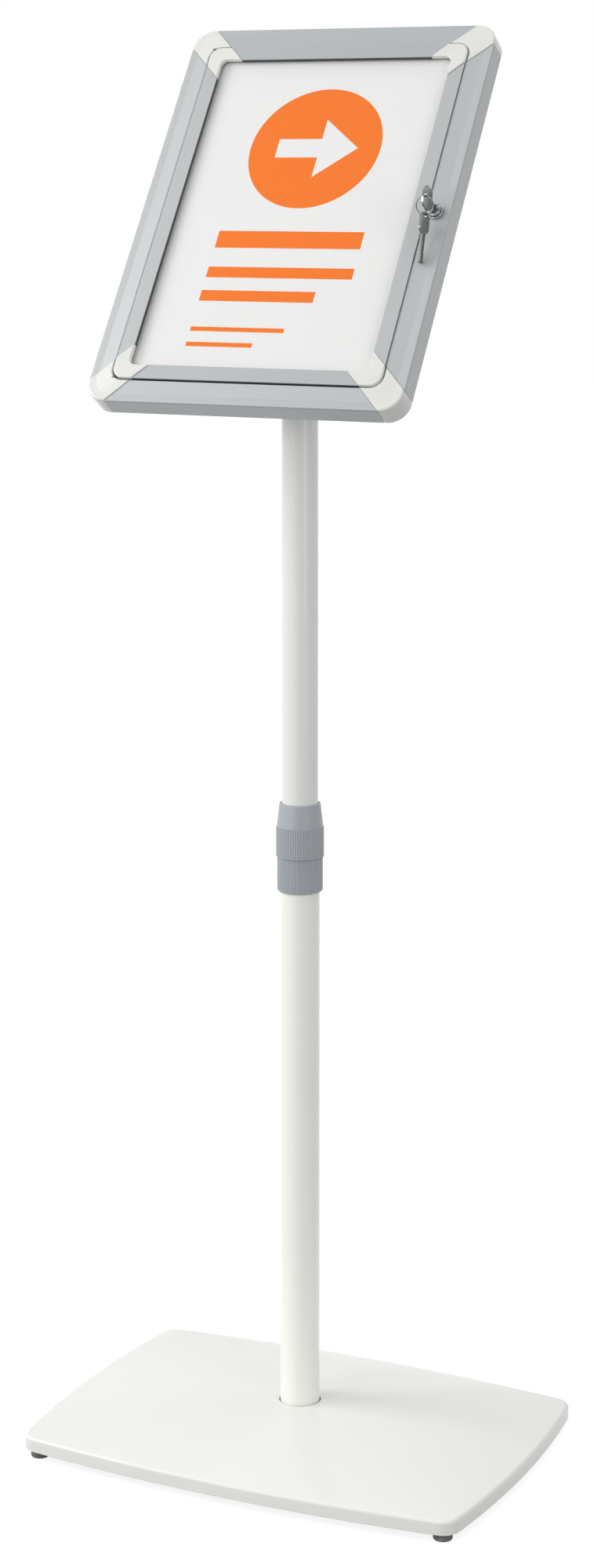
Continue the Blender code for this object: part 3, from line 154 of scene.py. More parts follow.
def srgb(red: int, green: int, blue: int) -> Colour:
    """Turn a colour given as 0 to 255 display values into linear light.

    Args:
        red: Red value.
        green: Green value.
        blue: Blue value.

    Returns:
        The three linear values.
    """

    def linear(value: int) -> float:
        """Linear light of one display value."""
        share = value / 255
        return share / 12.92 if share <= 0.04045 else ((share + 0.055) / 1.055) ** 2.4

    return linear(red), linear(green), linear(blue)


def moved(x: float, y: float, z: float) -> Matrix:
    """Placement without a turn."""
    return Matrix.Translation((x, y, z))


def turned(angle: float, axis: str) -> Matrix:
    """Turn about one axis."""
    return Matrix.Rotation(angle, 4, axis)


# ------------------------ materials


class NodeSheet:
    """The node tree of one material while it is laid out."""

    def __init__(self, name: str) -> None:
        """Start a material with its shader and its object coordinates."""
        self.material = bpy.data.materials.new(name)
        self.material.use_nodes = True
        self.tree = self.material.node_tree
        self.shader = self.tree.nodes["Principled BSDF"]
        self.place = self.add("ShaderNodeTexCoord").outputs["Object"]

    def add(self, kind: str, **settings: object) -> bpy.types.Node:
        """Add a node.

        Args:
            kind: Blender's name of the node type.
            settings: Attributes of the node.

        Returns:
            The new node.
        """
        node = self.tree.nodes.new(kind)
        for key, value in settings.items():
            setattr(node, key, value)
        return node

    def link(self, source: Socket, target: Socket) -> None:
        """Join two sockets."""
        self.tree.links.new(source, target)

    def stretched(
        self, lengths: Point, turn: Point
    ) -> Socket:
        """Object coordinates turned to an axis and counted in given lengths.

        Args:
            lengths: Size of one unit of the pattern along each turned axis.
            turn: Rotation of the axes.

        Returns:
            The socket with the new coordinates.
        """
        mapping = self.add("ShaderNodeMapping", vector_type="TEXTURE")
        mapping.inputs["Rotation"].default_value = turn
        mapping.inputs["Scale"].default_value = lengths
        self.link(self.place, mapping.inputs["Vector"])
        return mapping.outputs["Vector"]

    def noise(
        self, place: Socket, scale: float, detail: float = 2.0, rough: float = 0.5
    ) -> Socket:
        """Cloudy pattern.

        Args:
            place: Coordinates that it reads.
            scale: Cells in one unit of them.
            detail: Octaves.
            rough: Weight of the finer octaves.

        Returns:
            The pattern's value from 0 to 1.
        """
        node = self.add("ShaderNodeTexNoise")
        node.inputs["Scale"].default_value = scale
        node.inputs["Detail"].default_value = detail
        node.inputs["Roughness"].default_value = rough
        self.link(place, node.inputs["Vector"])
        return node.outputs["Fac"]

    def spread(
        self, value: Socket, low: float, high: float, start: float = 0.3, end: float = 0.7
    ) -> Socket:
        """Map a pattern's middle range to other values.

        Args:
            value: The pattern.
            low: Result at start.
            high: Result at end.
            start: Pattern value that gives low.
            end: Pattern value that gives high.

        Returns:
            The mapped value.
        """
        node = self.add("ShaderNodeMapRange")
        limits = {"From Min": start, "From Max": end, "To Min": low, "To Max": high}
        for key, number in limits.items():
            node.inputs[key].default_value = number
        self.link(value, node.inputs["Value"])
        return node.outputs["Result"]

    def blend(
        self, amount: Socket, first: Colour, second: Colour
    ) -> Socket:
        """Mix two colours by a pattern.

        Args:
            amount: Share of the second colour.
            first: Colour at 0.
            second: Colour at 1.

        Returns:
            The mixed colour.
        """
        node = self.add("ShaderNodeMix", data_type="RGBA")
        self.link(amount, node.inputs[0])
        node.inputs[6].default_value = (*first, 1)
        node.inputs[7].default_value = (*second, 1)
        return node.outputs[2]

    def relief(self, value: Socket, strength: float, depth: float) -> None:
        """Raise the surface by a pattern, over any relief that it has already.

        Args:
            value: Height from 0 to 1.
            strength: Share of the full relief.
            depth: Height of the full relief.
        """
        node = self.add("ShaderNodeBump")
        node.inputs["Strength"].default_value = strength
        node.inputs["Distance"].default_value = depth
        self.link(value, node.inputs["Height"])
        target = self.shader.inputs["Normal"]
        if target.is_linked:
            self.link(target.links[0].from_socket, node.inputs["Normal"])
        self.link(node.outputs["Normal"], target)


def shaded(colour: Colour, share: float) -> Colour:
    """A colour made darker or lighter by a share of itself."""
    return tuple(min(1.0, value * share) for value in colour)


@dataclass(frozen=True)
class Finish:
    """What every finish has: its name, colour, roughness and metal share."""

    name: str
    colour: Colour
    roughness: float
    metallic: float = 0.0

    def dress(self, sheet: NodeSheet) -> None:
        """Lay out the finish's own patterns; a plain one has none."""

    def tone(self, sheet: NodeSheet, amount: Socket, low: float, high: float) -> None:
        """Let the colour follow a pattern.

        Args:
            sheet: The material.
            amount: The pattern, from 0 to 1.
            low: Share of the colour at 0.
            high: Share of the colour at 1.
        """
        mixed = sheet.blend(amount, shaded(self.colour, low), shaded(self.colour, high))
        sheet.link(mixed, sheet.shader.inputs["Base Color"])

    def gloss(
        self, sheet: NodeSheet, pattern: Socket, low: float, high: float,
        start: float = 0.3, end: float = 0.7,
    ) -> None:
        """Let the roughness follow a pattern.

        Args:
            sheet: The material.
            pattern: The pattern.
            low: Share of the roughness at start.
            high: Share of the roughness at end.
            start: Pattern value that gives low.
            end: Pattern value that gives high.
        """
        rough = sheet.spread(pattern, self.roughness * low, self.roughness * high, start, end)
        sheet.link(rough, sheet.shader.inputs["Roughness"])

    def build(self) -> Material:
        """Make the material.

        Returns:
            The finished material.
        """
        sheet = NodeSheet(self.name)
        sheet.shader.inputs["Base Color"].default_value = (*self.colour, 1)
        sheet.shader.inputs["Roughness"].default_value = self.roughness
        sheet.shader.inputs["Metallic"].default_value = self.metallic
        sheet.material.diffuse_color = (*self.colour, 1)
        self.dress(sheet)
        return sheet.material


@dataclass(frozen=True)
class PowderCoat(Finish):
    """Baked paint with a fine orange peel and a faint unevenness of tone."""

    peel: float = 0.0011
    peel_depth: float = 0.00003
    unevenness: float = 0.008
    clouds: float = 14.0
    mottle: float = 90.0

    def dress(self, sheet: NodeSheet) -> None:
        """Cloudy tone, a finer unevenness of gloss, and the peel."""
        cloud = sheet.noise(sheet.place, self.clouds, 3.0)
        self.tone(sheet, sheet.spread(cloud, 0.0, 1.0), 1 - self.unevenness, 1.0)
        self.gloss(sheet, sheet.noise(sheet.place, self.mottle, 4.0), 0.94, 1.06)
        sheet.relief(sheet.noise(sheet.place, 1 / self.peel, 2.0), 0.2, self.peel_depth)


@dataclass(frozen=True)
class Anodised(Finish):
    """Drawn and anodised aluminium, its die lines along the profile."""

    grain: Grain = Grain.UPWARD
    line_width: float = 0.00016
    line_length: float = 0.09
    line_depth: float = 0.000012
    contrast: float = 0.07
    band_lines: float = 9.0

    def turned_lengths(self) -> tuple[Point, Point]:
        """Pattern lengths and turn for the direction of the grain.

        Returns:
            Lengths along the turned axes, and the turn.
        """
        across, along = self.line_width, self.line_length
        if self.grain is Grain.UPRIGHT:
            return (across, across, along), (0.0, 0.0, 0.0)
        turn = (QUARTER - TILT, 0.0, 0.0)
        if self.grain is Grain.ACROSS:
            return (along, across, across), turn
        return (across, along, across), turn

    def dress(self, sheet: NodeSheet) -> None:
        """Die lines in tone, gloss and relief, and broad bands over them."""
        lengths, turn = self.turned_lengths()
        lines = sheet.noise(sheet.stretched(lengths, turn), 1.0, 3.0, 0.6)
        wide = tuple(
            length * self.band_lines if length == self.line_width else length for length in lengths
        )
        bands = sheet.noise(sheet.stretched(wide, turn), 1.0, 2.0)
        mixed = sheet.add("ShaderNodeMath", operation="MULTIPLY_ADD")
        sheet.link(sheet.spread(lines, 0.0, 0.6), mixed.inputs[0])
        mixed.inputs[1].default_value = 1.0
        sheet.link(sheet.spread(bands, 0.0, 0.4), mixed.inputs[2])
        self.tone(sheet, mixed.outputs[0], 1 - self.contrast / 2, 1 + self.contrast / 2)
        self.gloss(sheet, lines, 0.88, 1.12)
        sheet.relief(lines, 0.25, self.line_depth)


@dataclass(frozen=True)
class Moulded(Finish):
    """Injection-moulded plastic with an eroded texture and slight flow marks."""

    texture: float = 0.00045
    texture_depth: float = 0.00002
    flow: float = 0.025
    flow_marks: float = 40.0

    def dress(self, sheet: NodeSheet) -> None:
        """Flow marks in the tone, grain in the gloss and the relief."""
        marks = sheet.spread(sheet.noise(sheet.place, self.flow_marks, 3.0, 0.6), 0.0, 1.0)
        self.tone(sheet, marks, 1 - self.flow, 1 + self.flow / 2)
        grain = sheet.noise(sheet.place, 1 / self.texture, 3.0, 0.6)
        self.gloss(sheet, grain, 0.88, 1.12)
        sheet.relief(grain, 0.4, self.texture_depth)


@dataclass(frozen=True)
class Plated(Finish):
    """Plated metal: polished, with faint clouds and hair scratches."""

    scratch_length: float = 0.004
    scratch_width: float = 0.00009
    scratch_depth: float = 0.000006
    scratch_turn: Point = (0.4, 0.3, 0.0)
    clouds: float = 260.0

    def dress(self, sheet: NodeSheet) -> None:
        """Clouds in the tone, scratches in the gloss and the relief."""
        cloud = sheet.noise(sheet.place, self.clouds, 3.0)
        self.tone(sheet, sheet.spread(cloud, 0.0, 1.0), 0.93, 1.03)
        lengths = (self.scratch_width, self.scratch_width, self.scratch_length)
        scratch = sheet.noise(sheet.stretched(lengths, self.scratch_turn), 1.0, 2.0)
        self.gloss(sheet, scratch, 0.75, 1.3)
        sheet.relief(scratch, 0.3, self.scratch_depth)


@dataclass(frozen=True)
class ZincPlate(Finish):
    """Bright zinc plate on a stamped or turned fixing."""

    crystal: float = 0.0022
    grain: float = 2600.0
    grain_depth: float = 0.000008

    def dress(self, sheet: NodeSheet) -> None:
        """Crystals in the tone and gloss, and a fine grain over them."""
        cells = sheet.add("ShaderNodeTexVoronoi")
        cells.inputs["Scale"].default_value = 1 / self.crystal
        sheet.link(sheet.place, cells.inputs["Vector"])
        away = cells.outputs["Distance"]
        self.tone(sheet, sheet.spread(away, 0.0, 1.0, 0.0, 0.8), 1.05, 0.88)
        self.gloss(sheet, away, 0.85, 1.2, 0.0, 0.8)
        sheet.relief(sheet.noise(sheet.place, self.grain, 2.0), 0.3, self.grain_depth)


@dataclass(frozen=True)
class Rubber(Finish):
    """Matt rubber with a pitted skin and pale dust in its pits."""

    pit: float = 0.0007
    pit_depth: float = 0.00005
    dust: float = 1.9
    dust_clouds: float = 320.0

    def dress(self, sheet: NodeSheet) -> None:
        """Dusty tone and pits."""
        cloud = sheet.noise(sheet.place, self.dust_clouds, 4.0, 0.65)
        self.tone(sheet, sheet.spread(cloud, 0.0, 1.0, 0.45, 0.75), 1.0, self.dust)
        pits = sheet.noise(sheet.place, 1 / self.pit, 3.0)
        sheet.relief(pits, 0.5, self.pit_depth)
        self.gloss(sheet, pits, 0.9, 1.1)


@dataclass(frozen=True)
class Paper(Finish):
    """Smooth coated paper or board with a faint fibre."""

    fibre: float = 0.0005
    fibre_depth: float = 0.00001
    turn: Point = (QUARTER - TILT, 0.0, 0.3)

    def dress(self, sheet: NodeSheet) -> None:
        """Fibre in the tone and relief."""
        lengths = (self.fibre, self.fibre * 3, self.fibre)
        fibre = sheet.noise(sheet.stretched(lengths, self.turn), 1.0, 4.0, 0.6)
        self.tone(sheet, sheet.spread(fibre, 0.0, 1.0), 0.985, 1.0)
        sheet.shader.inputs["Specular IOR Level"].default_value = 0.25
        sheet.relief(fibre, 0.2, self.fibre_depth)
        self.gloss(sheet, fibre, 0.93, 1.05)


@dataclass(frozen=True)
class ClearSheet(Finish):
    """Clear acrylic that leaves a thin veil and a soft gloss."""

    veil: float = 0.035
    index: float = 1.49
    wipe: Point = (0.05, 0.012, 0.05)
    wipe_turn: Point = (0.6, 0.0, 0.5)

    def dress(self, sheet: NodeSheet) -> None:
        """Low cover, and a gloss with faint wiping marks."""
        sheet.shader.inputs["Alpha"].default_value = self.veil
        sheet.shader.inputs["IOR"].default_value = self.index
        marks = sheet.noise(sheet.stretched(self.wipe, self.wipe_turn), 1.0, 3.0)
        self.gloss(sheet, marks, 0.7, 1.5)


# ------------------------ shaping


def circle_points(radius: float, steps: int, centre: Plan = (0.0, 0.0)) -> Section:
    """Points round a circle."""
    return arc_points(centre, radius, 0.0, 2 * math.pi, steps)[:-1]


def arc_points(centre: Plan, radius: float, start: float, end: float, steps: int) -> Section:
    """Points along an arc, both ends included."""
    turns = [start + (end - start) * i / steps for i in range(steps + 1)]
    return [(centre[0] + radius * math.cos(t), centre[1] + radius * math.sin(t)) for t in turns]


def rounded_outline(half_x: float, half_y: float, radius: float, steps: int = 8) -> Section:
    """A rectangle's outline with round corners.

    Args:
        half_x: Half its width.
        half_y: Half its height.
        radius: Corner radius.
        steps: Steps in each corner.

    Returns:
        The outline, anticlockwise from the upper right corner.
    """
    points: Section = []
    for turn, (sx, sy) in enumerate(((1, 1), (-1, 1), (-1, -1), (1, -1))):
        centre = (sx * (half_x - radius), sy * (half_y - radius))
        points += arc_points(centre, radius, turn * QUARTER, (turn + 1) * QUARTER, steps)
    return points


def revolve(profile: Section, steps: int = 96, turn: Matrix | None = None) -> Shape:
    """Spin (radius, height) points about Z; a profile off the axis is closed as a ring.

    Args:
        profile: The points, on one side of the axis.
        steps: Faces round the axis.
        turn: Placement of the result.

    Returns:
        The solid of revolution.
    """
    shape = bmesh.new()
    verts = [shape.verts.new((radius, 0, height)) for radius, height in profile]
    edges = [shape.edges.new(pair) for pair in zip(verts, verts[1:])]
    if profile[0][0] > WELD:
        edges.append(shape.edges.new((verts[-1], verts[0])))
    bmesh.ops.spin(
        shape, geom=verts + edges, cent=(0, 0, 0), axis=(0, 0, 1), angle=2 * math.pi,
        steps=steps, use_merge=True,
    )
    return tidied(shape, turn)


def placed(shape: Shape, place: Matrix) -> None:
    """Move a shape to its place, its faces still outwards if that mirrors it."""
    bmesh.ops.transform(shape, matrix=place, verts=shape.verts)
    if place.determinant() < 0:
        bmesh.ops.reverse_faces(shape, faces=shape.faces)


def tidied(shape: Shape, turn: Matrix | None = None) -> Shape:
    """Merge doubles, face outwards and place a shape.

    Args:
        shape: The shape, changed in place.
        turn: Its placement.

    Returns:
        The same shape.
    """
    bmesh.ops.remove_doubles(shape, verts=shape.verts, dist=WELD)
    bmesh.ops.recalc_face_normals(shape, faces=shape.faces)
    if turn is not None:
        placed(shape, turn)
    return shape


def pushed(
    shape: Shape, faces: list[bmesh.types.BMFace], way: Point, kept: bool = False
) -> None:
    """Extrude faces of a shape.

    Args:
        shape: The shape, changed in place.
        faces: Its faces.
        way: How far they move.
        kept: Leave the faces where they were as well.
    """
    grown = bmesh.ops.extrude_face_region(shape, geom=faces, use_keep_orig=kept)
    ends = [item for item in grown["geom"] if isinstance(item, bmesh.types.BMVert)]
    bmesh.ops.translate(shape, verts=ends, vec=way)


def extruded(outline: Section, low: float, high: float, turn: Matrix | None = None) -> Shape:
    """Extrude a closed outline from low to high along Z.

    Args:
        outline: Points in X and Y.
        low: Height of its lower face.
        high: Height of its upper face.
        turn: Placement of the result.

    Returns:
        The prism.
    """
    shape = bmesh.new()
    face = shape.faces.new([shape.verts.new((x, y, low)) for x, y in outline])
    pushed(shape, [face], (0, 0, high - low))
    return tidied(shape, turn)


def block(low: Sequence[float], high: Sequence[float], turn: Matrix | None = None) -> Shape:
    """A block between two corners."""
    shape = bmesh.new()
    bmesh.ops.create_cube(shape, size=1.0)
    centre = [(a + b) / 2 for a, b in zip(low, high)]
    size = [b - a for a, b in zip(low, high)]
    bmesh.ops.scale(shape, verts=shape.verts, vec=size)
    bmesh.ops.translate(shape, verts=shape.verts, vec=centre)
    return tidied(shape, turn)


def rod(
    radius: float, low: float, high: float, steps: int = 32, turn: Matrix | None = None
) -> Shape:
    """A cylinder on Z, closed at both ends."""
    return revolve([(0, low), (radius, low), (radius, high), (0, high)], steps, turn)


def eased(shape: Shape, width: float, segments: int, chosen: Callable[[Edge], bool]) -> Shape:
    """Round the chosen edges.

    Args:
        shape: The shape, changed in place.
        width: How far the rounding reaches into each face.
        segments: Faces across it.
        chosen: Says whether an edge is rounded.

    Returns:
        The same shape.
    """
    edges = [edge for edge in shape.edges if chosen(edge)]
    if edges:
        bmesh.ops.bevel(
            shape, geom=edges, offset=width, offset_type="OFFSET", segments=segments,
            profile=0.5, affect="EDGES", clamp_overlap=True, material=-1,
        )
    return shape


def folded(limit: float) -> Callable[[Edge], bool]:
    """Choose edges whose faces meet at more than an angle."""

    def chosen(edge: Edge) -> bool:
        """Whether this edge is sharp."""
        return len(edge.link_faces) == 2 and edge.calc_face_angle(0.0) > limit

    return chosen


def level_in_x(edge: Edge) -> bool:
    """Whether an edge lies square to X."""
    return abs(edge.verts[0].co.x - edge.verts[1].co.x) < WELD


def bridged(loops: Iterable[list[Point]], capped: bool = True) -> Shape:
    """Skin a row of closed loops.

    Args:
        loops: Loops of points, the same number in each.
        capped: Close the first and last loop; if not, join the last to the first.

    Returns:
        The closed skin.
    """
    shape = bmesh.new()
    rings: list[list[Edge]] = []
    for loop in loops:
        verts = [shape.verts.new(point) for point in loop]
        rings.append([shape.edges.new(pair) for pair in zip(verts, verts[1:] + verts[:1])])
    for near, far in zip(rings, rings[1:]):
        bmesh.ops.bridge_loops(shape, edges=near + far)
    if capped:
        for ring in (rings[0], rings[-1]):
            bmesh.ops.contextual_create(shape, geom=ring)
    else:
        bmesh.ops.bridge_loops(shape, edges=rings[-1] + rings[0])
    return tidied(shape)


def mesh_of(name: str, shape: Shape) -> bpy.types.Mesh:
    """Write a shape to a new mesh, and free it."""
    mesh = bpy.data.meshes.new(name)
    shape.to_mesh(mesh)
    shape.free()
    return mesh


def linked(name: str, data: bpy.types.ID) -> bpy.types.Object:
    """A new object in the scene."""
    obj = bpy.data.objects.new(name, data)
    bpy.context.scene.collection.objects.link(obj)
    return obj


def aimed(name: str, data: bpy.types.ID, at: Sequence[float], way: Vector) -> bpy.types.Object:
    """A lamp or a camera in the scene, at a place and looking one way."""
    obj = linked(name, data)
    obj.location = at
    obj.rotation_mode = "QUATERNION"
    obj.rotation_quaternion = way.to_track_quat("-Z", "Y")
    return obj


def gathered(*shapes: Shape) -> Shape:
    """Put several shapes in one, and free them.

    Args:
        shapes: The shapes.

    Returns:
        One shape with all their faces.
    """
    whole = bmesh.new()
    for shape in shapes:
        mesh = mesh_of("part", shape)
        whole.from_mesh(mesh)
        bpy.data.meshes.remove(mesh)
    return whole


@dataclass
class Workshop:
    """Turns shapes into the scene's pieces and dresses the model's own nodes."""

    nodes: dict[str, bpy.types.Object]
    smooth_limit: float = math.radians(33)
    made: int = 0

    def piece(
        self,
        name: str,
        shape: Shape,
        body: Body,
        materials: Material | Sequence[Material],
        stands_for: Sequence[str] = (),
        place: Matrix | None = None,
        smooth: float | None = None,
    ) -> bpy.types.Object:
        """Finish a shape as a piece of the stand.

        Args:
            name: The piece's name.
            shape: Its shape, freed here.
            body: The group that it moves with.
            materials: Its finish or finishes.
            stands_for: The model's nodes that it replaces.
            place: From the shape's axes to the stand's.
            smooth: Angle above which an edge shades sharp.

        Returns:
            The piece.
        """
        if place is not None:
            placed(shape, place)
        obj = linked(name, mesh_of(name, shape))
        obj.data.shade_smooth()
        obj.data.set_sharp_from_angle(angle=self.smooth_limit if smooth is None else smooth)
        self.flatten_flats(obj)
        for material in materials if isinstance(materials, (list, tuple)) else [materials]:
            obj.data.materials.append(material)
        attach(obj, body.value)
        if stands_for:
            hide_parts(*stands_for)
        self.made += 1
        LOG.info("%s: %d faces on %s", name, len(obj.data.polygons), body.value)
        return obj

    @staticmethod
    def flatten_flats(obj: bpy.types.Object) -> None:
        """Weight the shading by area, so that flat faces between eased edges look flat.

        Args:
            obj: The piece, already smooth; its mesh is replaced.
        """
        step = obj.modifiers.new("flats", "WEIGHTED_NORMAL")
        step.mode = "FACE_AREA_WITH_ANGLE"
        step.keep_sharp = True
        graph = bpy.context.evaluated_depsgraph_get()
        rough, obj.data = obj.data, bpy.data.meshes.new_from_object(obj.evaluated_get(graph))
        obj.modifiers.clear()
        bpy.data.meshes.remove(rough)

    def dress(self, material: Material, *names: str) -> None:
        """Give the model's own nodes a finish.

        Args:
            material: The finish.
            names: The nodes.
        """
        for name in names:
            obj = self.nodes[name]
            if not obj.material_slots:
                obj.data.materials.append(material)
            for slot in obj.material_slots:
                slot.material = material
            LOG.info("%s: dressed in %s", name, material.name)

    def carved(self, shape: Shape, step: Step, *tools: Shape) -> Shape:
        """Cut shapes out of a shape or join them to it.

        Args:
            shape: The shape, freed here.
            step: Whether they are cut or joined.
            tools: The shapes, freed here.

        Returns:
            The result, as a new shape.
        """
        obj = linked("blank", mesh_of("blank", shape))
        helpers = [linked("tool", mesh_of("tool", tool)) for tool in tools]
        for helper in helpers:
            boolean = obj.modifiers.new("step", "BOOLEAN")
            boolean.operation = step.value
            boolean.solver = "EXACT"
            boolean.object = helper
        graph = bpy.context.evaluated_depsgraph_get()
        mesh = bpy.data.meshes.new_from_object(obj.evaluated_get(graph))
        result = bmesh.new()
        result.from_mesh(mesh)
        bpy.data.meshes.remove(mesh)
        for spent in (obj, *helpers):
            bpy.data.objects.remove(spent)
        bmesh.ops.remove_doubles(result, verts=result.verts, dist=WELD)
        return result


# ------------------------ base and mast


@dataclass
class Base:
    """Pillow-shaped cover over its ballast plate, on four feet."""

    width: float = 394.2 * MM
    depth: float = 281.4 * MM
    front_bulge: float = 12.25 * MM
    side_bulge: float = 9.3 * MM
    corner: float = 14.7 * MM
    sheet: float = 2.0 * MM
    edge_round: float = 2.9 * MM
    rise: float = 16.25 * MM
    low: float = 7.0 * MM
    rim: float = 18.4 * MM
    mast_hole: float = 16.85 * MM
    hole_lip: float = 0.6 * MM
    foot_height: float = 9.7 * MM
    foot_radius: float = 7.5 * MM
    foot_sink: float = 3.9 * MM
    foot_bore: float = 2.1 * MM
    foot_grooves: Plan = (3.4 * MM, 6.0 * MM)
    screw_seat: float = 3.8 * MM
    foot_x: float = 176.0 * MM
    foot_y: float = 118.0 * MM
    arc_steps: int = 22
    corner_steps: int = 10
    rings: int = 22
    edge_steps: int = 7
    hem: float = 0.4 * MM
    crowding: float = 1.35

    def outline(self, inset: float = 0.0) -> Section:
        """The base's plan: four shallow arcs that meet in small round corners.

        Args:
            inset: Distance inside the outer edge.

        Returns:
            The outline, from the middle of the front edge round to the right.
        """
        half_x, half_y = self.width / 2, self.depth / 2
        chord_x, chord_y = half_x - self.side_bulge, half_y - self.front_bulge
        front = (chord_x**2 + self.front_bulge**2) / (2 * self.front_bulge)
        side = (chord_y**2 + self.side_bulge**2) / (2 * self.side_bulge)
        front_y, side_x = front - half_y, half_x - side
        span = math.hypot(side_x, front_y)
        reach_front, reach_side = front - self.corner, side - self.corner
        along = (span**2 + reach_front**2 - reach_side**2) / (2 * span)
        off = math.sqrt(max(reach_front**2 - along**2, 0))
        unit = (side_x / span, -front_y / span)
        options = [
            (unit[0] * along + s * unit[1] * off, front_y + unit[1] * along - s * unit[0] * off)
            for s in (-1, 1)
        ]
        centre = max(options, key=lambda point: point[0] - point[1])
        turn_front = math.atan2(centre[1] - front_y, centre[0])
        turn_side = math.atan2(centre[1], centre[0] - side_x)
        quarter = arc_points((0, front_y), front - inset, -QUARTER, turn_front, self.arc_steps)
        quarter += arc_points(
            centre, self.corner - inset, turn_front, turn_side, self.corner_steps
        )[1:]
        quarter += arc_points((side_x, 0), side - inset, turn_side, 0, self.arc_steps)[1:]
        right = quarter + [(x, -y) for x, y in reversed(quarter[:-1])]
        return right + [(-x, y) for x, y in reversed(right[1:-1])]

    def height(self, x: float, y: float) -> float:
        """Rise of the pillow above its rim at a place in the plan."""
        across = 2 * x / (self.width - 2 * self.edge_round)
        deep = 2 * y / (self.depth - 2 * self.edge_round)
        return self.rise * max(0.0, 1 - across**2) * max(0.0, 1 - deep**2)

    def ring(self, share: float, hole: float, lift: float) -> list[Point]:
        """A loop of the dome between the mast hole and the rim.

        Args:
            share: 0 at the hole, 1 at the rim.
            hole: Radius of the hole.
            lift: Height added to the pillow's own.

        Returns:
            The loop's points.
        """
        points = []
        for x, y in self.outline(self.edge_round):
            turn = math.atan2(y * self.width, x * self.depth)
            near = (hole * math.cos(turn), hole * math.sin(turn))
            px, py = near[0] + share * (x - near[0]), near[1] + share * (y - near[1])
            rise = 0.0 if share == 1 else self.height(px, py)
            points.append((px, py, self.rim + lift + rise))
        return points

    def cover(self) -> Shape:
        """The pressed cover, its rolled rim and the lip round the mast hole."""
        loops = [[(x, y, self.low + self.hem) for x, y in self.outline()]]
        for step in range(self.edge_steps):
            turn = QUARTER * step / self.edge_steps
            inset = self.edge_round * (1 - math.cos(turn))
            z = self.rim - self.edge_round * (1 - math.sin(turn))
            loops.append([(x, y, z) for x, y in self.outline(inset)])
        shares = [(1 - step / self.rings) ** self.crowding for step in range(self.rings + 1)]
        loops += [self.ring(share, self.mast_hole + self.hole_lip, 0.0) for share in shares]
        part = self.hole_lip * 0.3
        loops.append(self.ring(0.0, self.mast_hole + part, -part))
        loops.append(self.ring(0.0, self.mast_hole, -self.hole_lip))
        loops += [
            self.ring(share, self.mast_hole, -self.sheet) for share in reversed(shares[::3] + [0.0])
        ]
        inner = self.outline(self.sheet)
        loops.append([(x, y, self.rim - self.edge_round) for x, y in inner])
        loops.append([(x, y, self.low) for x, y in inner])
        loops.append([(x, y, self.low) for x, y in self.outline(self.hem)])
        return bridged(loops, capped=False)

    def foot(self) -> Shape:
        """A rubber foot with two grooves round it, its screw sunk in its underside."""
        top, outer, seat = self.foot_height, self.foot_radius, self.screw_seat + GAP
        ease, edge, half, dip = 0.3 * MM, 1.1 * MM, 0.5 * MM, 0.4 * MM
        profile: Section = [(self.foot_sink, ease), (self.foot_sink + ease, 0.0)]
        profile += arc_points((outer - edge, edge), edge, -QUARTER, 0, 4)
        for middle in self.foot_grooves:
            profile += [(outer, middle - half), (outer - dip, middle), (outer, middle + half)]
        profile += [(outer, top - half), (outer - half, top), (self.foot_bore, top)]
        profile += [(self.foot_bore, seat), (self.foot_sink, seat)]
        return revolve(profile, 48)

    def screw(self) -> Shape:
        """A pan-head screw with a cross recess in its head."""
        shank, head, low, tip = 1.8 * MM, 3.6 * MM, 1.6 * MM, 17.8 * MM
        profile: Section = [(0, low), (head - 1.2 * MM, low), (head - 0.4 * MM, low + 0.4 * MM)]
        profile += [(head, low + 1.2 * MM), (head, self.screw_seat), (shank, self.screw_seat)]
        profile += [(shank, tip), (0, tip)]
        return revolve(profile, 32)

    def recess(self) -> list[Shape]:
        """The two bars of a screw's cross recess."""
        long, half, deep = 1.7 * MM, 0.35 * MM, 2.7 * MM
        return [
            block((-long, -half, 0), (long, half, deep), turned(angle, "Z"))
            for angle in (0.0, QUARTER)
        ]

    def make(self, shop: Workshop, kit: "Finishes") -> None:
        """Build and dress the base's pieces.

        Args:
            shop: Makes the pieces.
            kit: The finishes.
        """
        cover = self.cover()
        shop.piece("base_shell", cover, Body.BASE, kit.base_paint, ["base_cover"])
        for number, (sx, sy) in enumerate(((1, -1), (1, 1), (-1, 1), (-1, -1)), 1):
            at = moved(sx * self.foot_x, sy * self.foot_y, 0)
            shop.piece(
                f"rubber_foot_{number}", self.foot(), Body.BASE, kit.rubber,
                [f"foot_{number}"], at,
            )
            screw = shop.carved(self.screw(), Step.CUT, *self.recess())
            shop.piece(
                f"pan_screw_{number}", screw, Body.BASE, kit.zinc,
                [f"foot_screw_{number}"], at,
            )
        shop.dress(kit.weight_paint, "base_weight")
        shop.dress(kit.zinc, "mast_bolt", "mast_bolt_washer", "mast_foot_plug")


